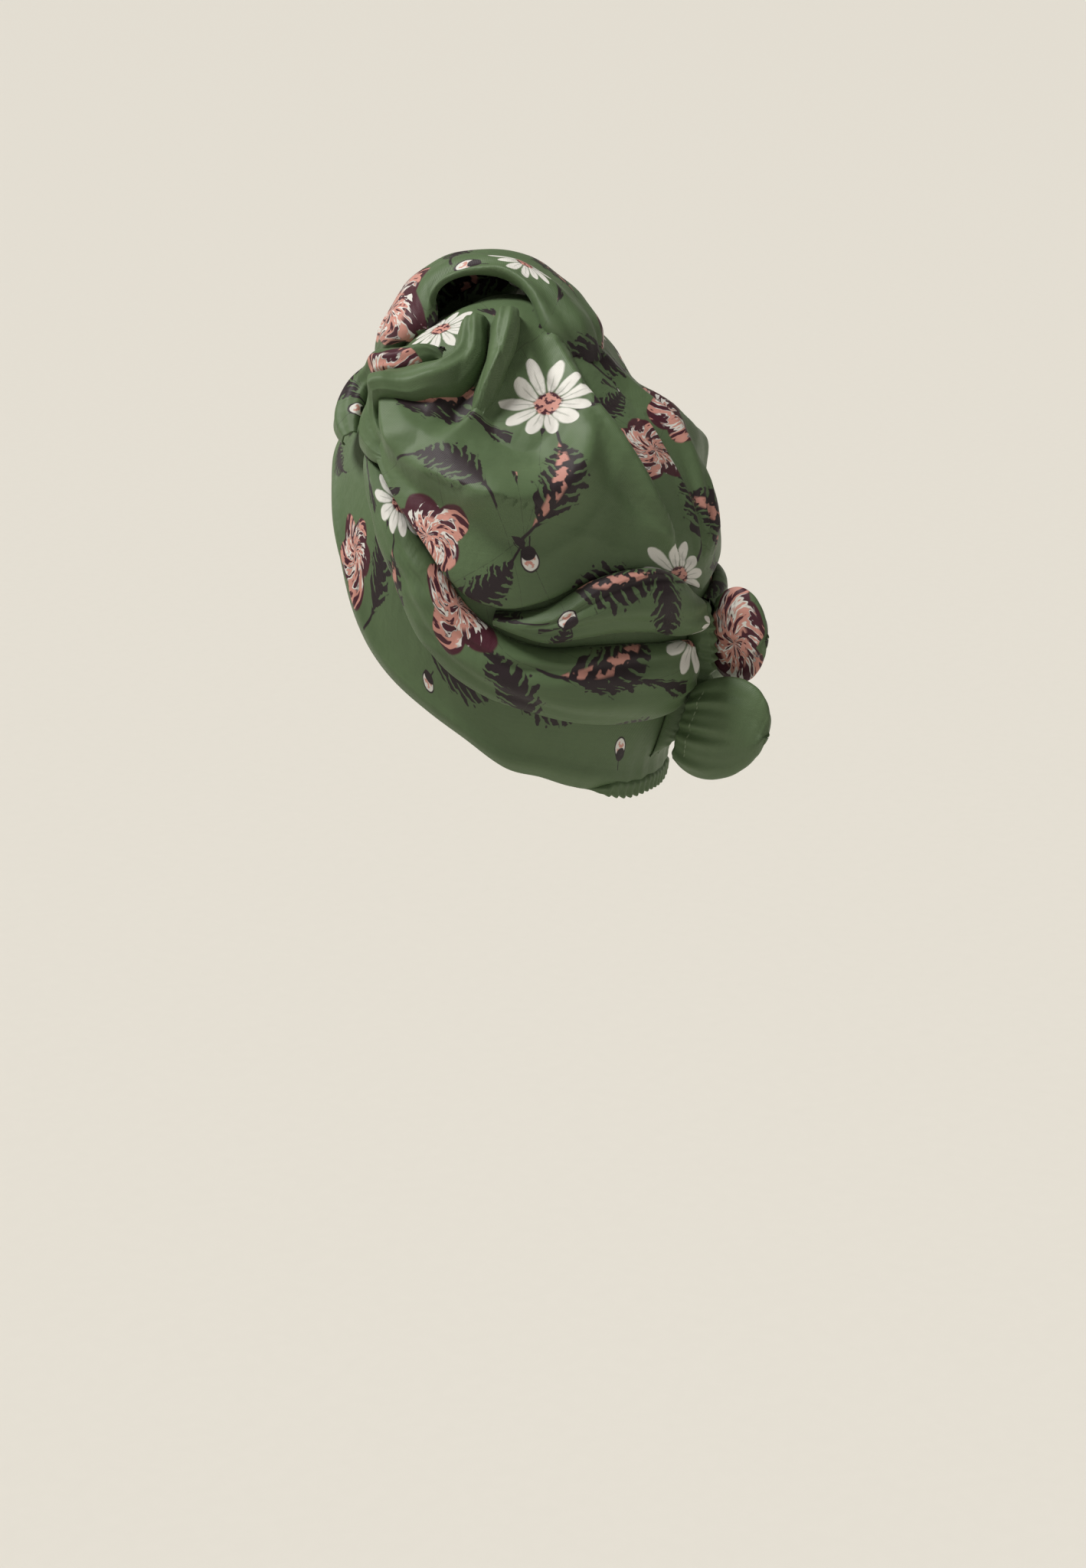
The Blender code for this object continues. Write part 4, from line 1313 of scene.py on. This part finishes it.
@dataclass(kw_only=True)
class NapeFrill(ClothPiece):
    """The gathered edge that shows below the band at the nape.

    The columns of its rows are the degrees above the rim, the share of the band's roll that it
    is seated on, and the share of the gathers' depth.
    """

    node: str = "nape_frill"
    cut: tuple[float, float] = (0.13, 0.010)
    cut_area: float = 0.0006
    held: Held = Held.GATHERED
    print_shift: tuple[float, float] = (0.05, 0.11)
    spread: float = 34.0
    fade_over: float = 14.0
    lift_over: float = 9.0
    ripples: int = 96
    steps: int = 560
    row_count: int = 17
    deep: float = 0.0006
    rim_roll: float = 0.0020
    rows: tuple[Row, ...] = (
        (-0.1, -0.1, 0.0), (0.1, 1.0, 1.0), (1.4, 1.0, 0.9), (2.8, 0.95, 0.4), (3.4, 0.5, 0.0),
    )

    def points(self) -> Array:
        """The draped grid of the frill.

        Returns:
            Columns round the nape and rows from the free edge up.
        """
        along = np.linspace(180 - self.spread, 180 + self.spread, self.steps)
        rim = read(EDGES, EDGE_COLUMNS, "rim", within_turn(along))
        turn = np.radians(along - 180)
        wave = np.sin(turn * self.ripples + 0.8 * np.sin(turn * 9))
        inside = self.spread - np.abs(along - 180)
        faded = ease(inside / self.fade_over) * 0.9 + 0.1
        seat = self.rim_roll + LAYER_GAP + SILK_THICKNESS
        last = len(self.rows) - 1
        at = np.linspace(0, last, self.row_count)
        rise, seated, share = spline(at, np.arange(last + 1), np.array(self.rows)).T
        wave = (wave * faded)[:, None]
        latitude = rim[:, None] + (rise - 0.15 * wave * (at < 2)) * faded[:, None]
        lift = ease(inside / self.lift_over)[:, None]
        height = BAND_OUT + (seat * seated + self.deep * (1 + wave) * share) * lift
        azimuth = np.broadcast_to(along[:, None], latitude.shape)
        return HEAD.at(azimuth, latitude, height)


@dataclass(kw_only=True)
class Roll(ClothPiece):
    """A fold that lies round the head on the band, its two edges tucked under.

    The columns of its creases are each one's place across the fold, its drift and its width.
    """

    table: tuple[Row, ...]
    loft: float = SWAG_LOFT
    curl: float = 112.0
    side: int = 1
    steps: int = 220
    across: int = 44
    pull: float = 0.0007
    short_wave: float = 0.009
    long_wave: float = 0.03
    crease_depth: float = 0.0022
    creases: tuple[tuple[float, float, float], ...] = ((0.30, 0.22, 0.10), (-0.22, -0.25, 0.13))
    seed: int = 1
    gather_depth: float = 0.0008
    gather_reach: float = 11.0
    gather_azimuth: float = 175.0

    def points(self) -> Array:
        """The draped grid of the fold.

        Returns:
            Columns along the fold and rows across it.
        """
        rows = self.table
        along = np.linspace(rows[0][0], rows[-1][0], self.steps)
        at = {c: read(rows, ROLL_COLUMNS, c, along)[:, None] for c in ROLL_COLUMNS}
        bend = np.radians(np.linspace(-self.curl, self.curl, self.across + 1))
        level = (np.cos(bend) - np.cos(bend[0])) / (1 - np.cos(bend[0]))
        latitude = at["middle"] + at["half_width"] * np.sin(bend)
        upper = 0.5 + 0.5 * np.sin(bend) / np.sin(bend[-1])
        seat = at["upper_seat"] * upper
        out = SEAT_OUT + (seat + (at["height"] - seat) * level) * self.loft
        azimuth = np.broadcast_to(at["azimuth"] * self.side, latitude.shape)
        places = HEAD.surface(azimuth.astype(float), latitude)
        stretched = places * np.array((0.35, 0.35, 1.0))
        waves = ripple(stretched, self.short_wave, self.seed)
        waves = waves + 0.6 * ripple(places, self.long_wave, self.seed + 20)
        near_end = np.abs(along - math.copysign(self.gather_azimuth, along[0]))[:, None]
        gather = np.sin(latitude * 1.9 + 0.5 * np.sin(latitude))
        gather = gather * np.exp(-((near_end / self.gather_reach) ** 2)) * self.gather_depth
        strength = level**0.5 * np.minimum(1, at["height"] * 1.5)
        out = out + (waves * self.pull + gather) * strength
        share = np.linspace(-1, 1, self.across + 1)
        fade = np.sin(np.linspace(0, math.pi, self.steps))[:, None]
        for middle, drift, wide in self.creases:
            line = middle + drift * np.linspace(-1, 1, self.steps)[:, None]
            dent = np.exp(-np.abs((share - line) / wide) ** 1.5)
            dent = dent - 0.5 * np.exp(-((share - line - wide) / wide) ** 2)
            out = out - self.crease_depth * dent * fade * at["height"]
        points = HEAD.at(azimuth, latitude, np.maximum(out, SEAT_OUT))
        return points[::-1] if self.side < 0 else points


@dataclass(kw_only=True)
class Pleat(ClothPiece):
    """A fold that hugs the cloth under it along any line, its two edges tucked under."""

    table: tuple[Row, ...]
    width: float
    crown: Crown | None = None
    loft: float = PLEAT_HEIGHT
    steps: int = 150
    across: int = 40
    pull: float = 0.0004
    wave: float = 0.018
    seed: int = 4
    smooth_side: int = 0
    skirt: float = 1.8
    tuck: float = 0.0034
    gather: float = 0.0
    creased: float = 0.0006

    def seat(self, azimuth: Array, latitude: Array) -> Array:
        """The height that the fold's edges rest at.

        Args:
            azimuth: Degrees round the head.
            latitude: Degrees above the brow.

        Returns:
            A height for each place.
        """
        if self.crown is None:
            return BAND_OUT + 0 * latitude
        return self.crown.seat(azimuth, latitude)

    def points(self) -> Array:
        """The draped grid of the fold.

        Returns:
            Columns along the fold and rows across it.
        """
        at = read_along(self.table, PLEAT_COLUMNS, self.steps)
        azimuth, latitude = at["azimuth"], at["latitude"]
        level = np.full(self.steps, CROWN_LOFT)
        ridge = HEAD.at(azimuth, latitude, level)
        east = HEAD.at(azimuth + NORMAL_STEP, latitude, level) - ridge
        north = HEAD.at(azimuth, latitude + NORMAL_STEP, level) - ridge
        outward = np.cross(east, north)
        sideways = np.cross(outward, np.gradient(ridge, axis=0))
        sideways /= np.linalg.norm(sideways, axis=1, keepdims=True)
        share = np.linspace(-1, 1, self.across + 1)
        bend = np.radians(at["curl"])[:, None] * share
        last = np.cos(np.radians(at["curl"]))[:, None]
        level = (np.cos(bend) - last) / (1 - last)
        smooth = share * self.smooth_side > 0
        reach = np.where(smooth, self.skirt * share, np.sin(bend))
        level = np.where(smooth, 0.5 + 0.5 * np.cos(math.pi * share), level)
        offset = (at["width"] * self.width / 2)[:, None] * reach
        turns = [
            NORMAL_STEP * offset * ((sideways * way).sum(axis=1) / (way * way).sum(axis=1))[:, None]
            for way in (east, north)
        ]
        azimuth, latitude = azimuth[:, None] + turns[0], latitude[:, None] + turns[1]
        seat = self.seat(azimuth, latitude) + LAYER_GAP
        places = HEAD.surface(azimuth, latitude)
        waves = ripple(places, self.wave, self.seed) * self.pull
        waves = waves + np.sin(latitude * 4.1 + 0.8 * np.sin(latitude * 1.3)) * self.gather
        drift = np.linspace(0, 1, self.steps)[:, None]
        drag = np.sin(share * 7.5 + 2.6 * drift + self.seed) + 0.6 * np.sin(share * 15 - 4 * drift)
        waves = waves + drag * self.creased
        height = at["height"][:, None] * self.loft * level
        if self.smooth_side:
            height = height - self.tuck * np.abs(share) ** 3 * (level < 0.5)
        return HEAD.at(azimuth, latitude, seat + height + waves * level * at["height"][:, None])


@dataclass(kw_only=True)
class KnotHood(ClothPiece):
    """The strip of silk that arches over the knot, open towards the left and the back."""

    node: str = "knot_hood"
    cut: tuple[float, float] = (0.16, 0.10)
    cut_area: float = 0.0125
    rests_on: tuple[str, ...] = ("crown", "front_roll")
    print_shift: tuple[float, float] = (0.10, 0.045)
    print_turn: float = 25.0
    height: float = 0.124
    length: float = 0.104
    width: float = 0.066
    sag: float = 0.8
    steps: int = 200
    across: int = 110
    hem_roll: float = 0.0042
    hem_back: float = 0.010
    hem_steps: int = 12
    start_pleats: float = 0.16
    end_pleats: float = 0.14
    pleat_depth: float = 0.0009
    drag_depth: float = 0.0011
    soft_wave: tuple[float, float] = (0.024, 0.0006)

    def points(self) -> Array:
        """The draped grid of the hood.

        Returns:
            Columns along the strip and rows across it, from hem to hem.
        """
        at = read_along(KNOT_HOOD, HOOD_COLUMNS, self.steps)
        size = (self.width, self.length, self.height)
        middle = np.stack([at[c] * s for c, s in zip(("across", "along", "up"), size)], axis=1)
        forward = np.gradient(middle, axis=0)
        forward /= np.linalg.norm(forward, axis=1, keepdims=True)
        lean = np.radians(at["lean"])
        sideways = np.stack((np.cos(lean), 0 * lean, np.sin(lean)), axis=1)
        outward = np.cross(sideways, forward)
        outward /= np.linalg.norm(outward, axis=1, keepdims=True)
        sideways = np.cross(forward, outward)
        share = np.linspace(-1, 1, self.across + 1)
        curl = np.where(share > 0, at["left_curl"][:, None], at["right_curl"][:, None])
        bend = np.radians(curl) * share
        radius = (at["width"] * self.width / 2)[:, None]
        along = np.linspace(0, 1, self.steps)[:, None]
        ends = np.exp(-((along / self.start_pleats) ** 2))
        ends = ends + 0.5 * np.exp(-(((1 - along) / self.end_pleats) ** 2))
        pleats = np.sin(share * 13 + 2.2 * along) * ends * self.pleat_depth
        drag = np.sin(share * 6 + along * 6 + 1) * self.drag_depth
        points = middle[:, None] + (radius * np.sin(bend))[..., None] * sideways[:, None]
        points = points - (radius * (1 - np.cos(bend)) * self.sag)[..., None] * outward[:, None]
        soft = ripple(points, self.soft_wave[0], 8) * self.soft_wave[1]
        out = np.cross(np.gradient(points, axis=1), np.gradient(points, axis=0))
        out /= np.linalg.norm(out, axis=-1, keepdims=True)
        edge = 1 - share**8
        points = points + out * ((pleats + drag) * edge + soft)[..., None]
        right = self.hem(points[:, ::-1], out[:, ::-1], along)[:, ::-1]
        left = self.hem(points, out, along)
        return np.concatenate((right, points, left), axis=1)[:, ::-1]

    def hem(self, points: Array, out: Array, along: Array) -> Array:
        """The cloth past one side of the hood, rolled under it and led back inside.

        Args:
            points: The hood's grid, with the side to fold at its last column.
            out: Directions out of the cloth, in the same order.
            along: Shares of the hood's length, one for each row.

        Returns:
            The grid's further columns.
        """
        last, normal = points[:, -1], out[:, -1]
        onward = last - points[:, -3]
        onward /= np.linalg.norm(onward, axis=1, keepdims=True)
        roll = self.hem_roll * (0.85 + 0.35 * np.sin(along * 8 + 0.6) + 0.12 * np.sin(along * 23))
        turns = np.radians(np.linspace(0, 180, self.hem_steps + 1))[1:]
        centre = last - normal * roll
        curled = [centre + normal * roll * np.cos(t) + onward * roll * np.sin(t) for t in turns]
        steps = range(1, self.hem_steps + 1)
        back = [curled[-1] - onward * self.hem_back * k / self.hem_steps for k in steps]
        return np.stack([*curled, *back], axis=1)


@dataclass(kw_only=True)
class Ruffle(ClothPiece):
    """A rounded pocket of silk that stands out from the casing where it is gathered."""

    held: Held = Held.GATHERED
    rests_on: tuple[str, ...] = ("back_casing",)
    shape: Row
    length: float = 0.0405
    height: float = 0.048
    thickness: float = 0.012
    round_steps: int = 200
    out_steps: int = 64
    gather_depth: float = 0.30
    gather_reach: float = 0.46
    sway_depth: float = 0.0011

    def root(self) -> Array:
        """The middle of the lobe's gathered root.

        Returns:
            One point.
        """
        row = dict(zip(RUFFLE_COLUMNS, self.shape))
        casing = np.array(CASING, float)[::-1]
        level = spline(np.array([row["latitude"]]), casing[:, 1], casing[:, 2])[0]
        height = SEAT_OUT + PLEAT_HEIGHT * level - row["sunk"] * self.thickness
        start = HEAD.at(np.array(180.0), np.array(row["latitude"]), np.array(height))
        return start + np.array((row["aside"] * self.thickness, 0, 0))

    def points(self) -> Array:
        """The draped grid of the lobe.

        Returns:
            Columns round it and rows outwards, to one point at its tip.
        """
        row = dict(zip(RUFFLE_COLUMNS, self.shape))
        turn, tilt = math.radians(row["turn"]), math.radians(row["tilt"])
        outward = np.array((math.sin(turn), math.cos(turn), 0.0))
        flat = np.array((math.cos(turn), -math.sin(turn), 0.0))
        upright = outward * math.sin(tilt) + np.array((0, 0, math.cos(tilt)))
        share = 1 - (1 - np.linspace(0, 1, self.out_steps)) ** 1.5
        half_height = read(LOBE, LOBE_COLUMNS, "half_height", share) * row["height"] * self.height
        half_thick = read(LOBE, LOBE_COLUMNS, "half_thickness", share) * row["thickness"]
        half_thick = half_thick * self.thickness / 2
        round_ = np.linspace(-math.pi, math.pi, self.round_steps + 1)
        pleat = np.sin(np.sin(round_) * 13 + 0.6 * np.sin(2 * round_)) * 0.6
        pleat = pleat + 0.4 * np.sin(np.sin(round_) * 23 + 1)
        fade = np.exp(-((share / self.gather_reach) ** 2))
        deep = 1 + pleat[:, None] * fade[None, :] * self.gather_depth
        sway = np.sin(np.sin(round_)[:, None] * 3.2 + share[None, :] * 2.5)
        sway = sway * share[None, :] * self.sway_depth
        across = np.cos(round_)[:, None] * half_thick * deep + sway
        rise = np.sin(round_)[:, None] * half_height
        reach = share * row["length"] * self.length
        lobe = (
            self.root()
            + reach[None, :, None] * outward
            + rise[..., None] * upright
            + across[..., None] * flat
        )[::-1]
        tip = lobe[:, -1].mean(axis=0)
        return np.concatenate((lobe, np.broadcast_to(tip, (len(lobe), 1, 3))), axis=1)


@dataclass(frozen=True)
class RootStitches:
    """The line of hand stitches that gathers the lower ruffle at its root."""

    count: int = 13
    first: int = 74
    step: int = 4
    row: int = 7
    length: float = 0.0011
    thread: float = 0.00028
    colour: Colour = (0.16, 0.21, 0.12, 1)
    roughness: float = 0.55

    def build(self, lobe: Array) -> None:
        """Makes the stitches.

        Args:
            lobe: The ruffle's draped grid, which the stitches lie on.
        """
        material, _, _ = new_surface(
            "thread", {"Base Color": self.colour, "Roughness": self.roughness}
        )
        made = []
        for number in range(self.count):
            column = self.first + number * self.step
            ahead = Vector(lobe[column + 1, self.row] - lobe[column - 1, self.row])
            bpy.ops.mesh.primitive_uv_sphere_add(segments=12, ring_count=8, radius=1)
            stitch = bpy.context.active_object
            stitch.scale = (self.thread, self.thread, self.length)
            stitch.rotation_mode = "QUATERNION"
            stitch.rotation_quaternion = ahead.to_track_quat("Z", "Y")
            stitch.location = Vector(lobe[column, self.row])
            stitch.data.materials.append(material)
            made.append(stitch)
        for stitch in made:
            stitch.select_set(True)
        bpy.ops.object.join()
        seam = bpy.context.active_object
        seam.name = seam.data.name = "root_stitches"
        bpy.ops.object.transform_apply(location=True, rotation=True, scale=True)
        bpy.ops.object.shade_smooth()
        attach(seam, "root")


@dataclass
class Studio:
    """The plain pale room, its soft lights and the camera at the photograph's place.

    The columns of its lights are each one's name, place, spread, power and colour.
    """

    camera_place: tuple[float, float, float] = (1.27065, 0.73365, 0.31185)
    camera_yaw: float = -150.82
    camera_pitch: float = -16.08
    lens: float = 79.9
    sensor_width: float = 36.0
    floor_level: float = -0.95
    floor_size: float = 60.0
    floor_roughness: float = 0.9
    floor_grain: float = 60.0
    horizon_height: float = 0.10
    horizon_soft: float = 0.08
    horizon_glow: float = 0.95
    sky_glow: float = 0.17
    pale: Colour = (0.64, 0.618, 0.565, 1)
    air: Colour = (0.86, 0.82, 0.74, 1)
    lights: tuple[tuple[str, Row, float, float, Row], ...] = (
        ("Window", (0.80, -0.85, 1.85), 18.0, 3.95, (1.0, 0.98, 0.95)),
        ("Bounce", (0.60, 1.60, 0.70), 60.0, 0.25, (1.0, 0.97, 0.93)),
    )

    def stand(self, data: bpy.types.ID, place: Row, ahead: Vector) -> bpy.types.Object:
        """Puts a camera or a light in the scene.

        Args:
            data: The camera or the light.
            place: Where it stands.
            ahead: Where it looks.

        Returns:
            Its object.
        """
        made = bpy.data.objects.new(data.name, data)
        made.location = place
        made.rotation_mode = "QUATERNION"
        made.rotation_quaternion = ahead.to_track_quat("-Z", "Y")
        bpy.context.scene.collection.objects.link(made)
        return made

    def camera(self) -> None:
        """Adds the camera and makes it the scene's own."""
        yaw, pitch = math.radians(self.camera_yaw), math.radians(self.camera_pitch)
        flat = math.cos(pitch)
        ahead = Vector((flat * math.cos(yaw), flat * math.sin(yaw), math.sin(pitch)))
        data = bpy.data.cameras.new("Camera")
        data.lens = self.lens
        data.sensor_width = self.sensor_width
        bpy.context.scene.camera = self.stand(data, self.camera_place, ahead)

    def light(self, name: str, place: Row, spread: float, power: float, colour: Row) -> None:
        """Adds a broad, soft light from far off that looks at the turban.

        Args:
            name: The light's name.
            place: The side it comes from.
            spread: How broad it looks, in degrees.
            power: Its strength.
            colour: Its colour.
        """
        data = bpy.data.lights.new(name, "SUN")
        data.angle = math.radians(spread)
        data.energy = power
        data.color = colour
        self.stand(data, place, -Vector(place))

    def floor(self) -> None:
        """Adds the pale floor, which carries on to the horizon."""
        bpy.ops.object.select_all(action="DESELECT")
        bpy.ops.mesh.primitive_plane_add(size=self.floor_size, location=(0, 0, self.floor_level))
        floor = bpy.context.active_object
        floor.name = "floor"
        material, shading, surface = new_surface("pale_floor", {"Roughness": self.floor_roughness})
        place = shading.node("ShaderNodeTexCoord").outputs["Object"]
        grain = shading.noise(place, self.floor_grain, 4.0)
        shade = tuple(part * 0.97 for part in self.pale[:3]) + (1,)
        shading.feed(surface.inputs["Base Color"], shading.mix(self.pale, shade, grain))
        floor.data.materials.append(material)

    def world(self) -> None:
        """Sets the even light of the room."""
        world = bpy.data.worlds.new("Room")
        world.use_nodes = True
        background = world.node_tree.nodes["Background"]
        background.inputs["Color"].default_value = self.air
        shading = Shading(world.node_tree)
        rise = shading.split(shading.node("ShaderNodeTexCoord").outputs["Generated"])[2]
        horizon = rise.below(self.horizon_height, self.horizon_soft)
        glow = horizon * (self.horizon_glow - self.sky_glow) + self.sky_glow
        shading.feed(background.inputs["Strength"], glow)
        bpy.context.scene.world = world
        bpy.context.scene.view_settings.view_transform = "Standard"

    def build(self) -> None:
        """Sets up the room."""
        self.camera()
        self.world()
        self.floor()
        for light in self.lights:
            self.light(*light)


def main() -> None:
    """Builds the turban piece by piece, then the room, and keeps the sizes."""
    logging.basicConfig(level=logging.INFO, format="%(name)s: %(message)s")
    silk_print, band_print = PrintLayout(), PrintLayout.for_band()
    for group in (PrintMotifs(), silk_print, band_print, SilkWeave()):
        group.build()
    printed = Silk("printed_silk", silk_print.name).material()
    band_silk = Silk("band_silk", band_print.name).material()
    plain = Silk("plain_silk").material()
    crown = Crown()
    swag = {"cut": (0.23, 0.045), "cut_area": 0.0085, "table": LOWER_SWAG, "curl": 106.0}
    on_crown = {"crown": crown, "rests_on": ("crown",)}
    lower_ruffle = Ruffle("ruffle_lower", (0.1, 0.045), 0.004, shape=LOWER_RUFFLE)
    pieces: tuple[tuple[ClothPiece, bpy.types.Material], ...] = (
        (crown, printed),
        (Band(), band_silk),
        (NapeFrill(), plain),
        (Roll("lower_swag_left", print_shift=(0.02, 0.05), seed=11, **swag), printed),
        (Roll("lower_swag_right", print_shift=(0.09, 0.01), seed=12, side=-1, **swag), printed),
        (Roll("back_pleat_left", (0.11, 0.04), 0.0038, print_shift=(0.06, 0.10),
              table=BACK_PLEAT, seed=13), printed),
        (Roll("back_pleat_right", (0.10, 0.022), 0.0019, print_shift=(0.03, 0.03),
              table=RIGHT_BACK_PLEAT, seed=14), printed),
        (Roll("front_roll", (0.13, 0.03), 0.0033, print_shift=(0.0, 0.08),
              table=FRONT_ROLL, loft=FRONT_ROLL_LOFT, seed=15), printed),
        (KnotHood(), printed),
        (Pleat("long_pleat", (0.08, 0.03), 0.0018, print_shift=(0.1, 0.1),
               table=LONG_PLEAT, width=0.014, smooth_side=-1, **on_crown), plain),
        (Pleat("short_pleat", (0.08, 0.034), 0.0024, print_shift=(0.05, 0.0),
               table=SHORT_PLEAT, width=0.021, seed=5, smooth_side=-1, **on_crown), plain),
        (Pleat("front_loop", (0.07, 0.025), 0.0015,
               table=FRONT_LOOP, width=0.013, seed=6, **on_crown), printed),
        (Pleat("back_casing", (0.07, 0.03), 0.0015,
               table=CASING, width=0.009, seed=7, steps=260, gather=0.0006), plain),
        (Ruffle("ruffle_upper", (0.08, 0.03), 0.002, print_shift=(0.079, 0.078),
                shape=UPPER_RUFFLE), printed),
        (lower_ruffle, plain),
    )
    for piece, silk in pieces:
        piece.build(silk)
    RootStitches().build(lower_ruffle.points())
    LOG.info("root_stitches: %d stitches", RootStitches.count)
    Studio().build()


if __name__ == "__main__":
    main()
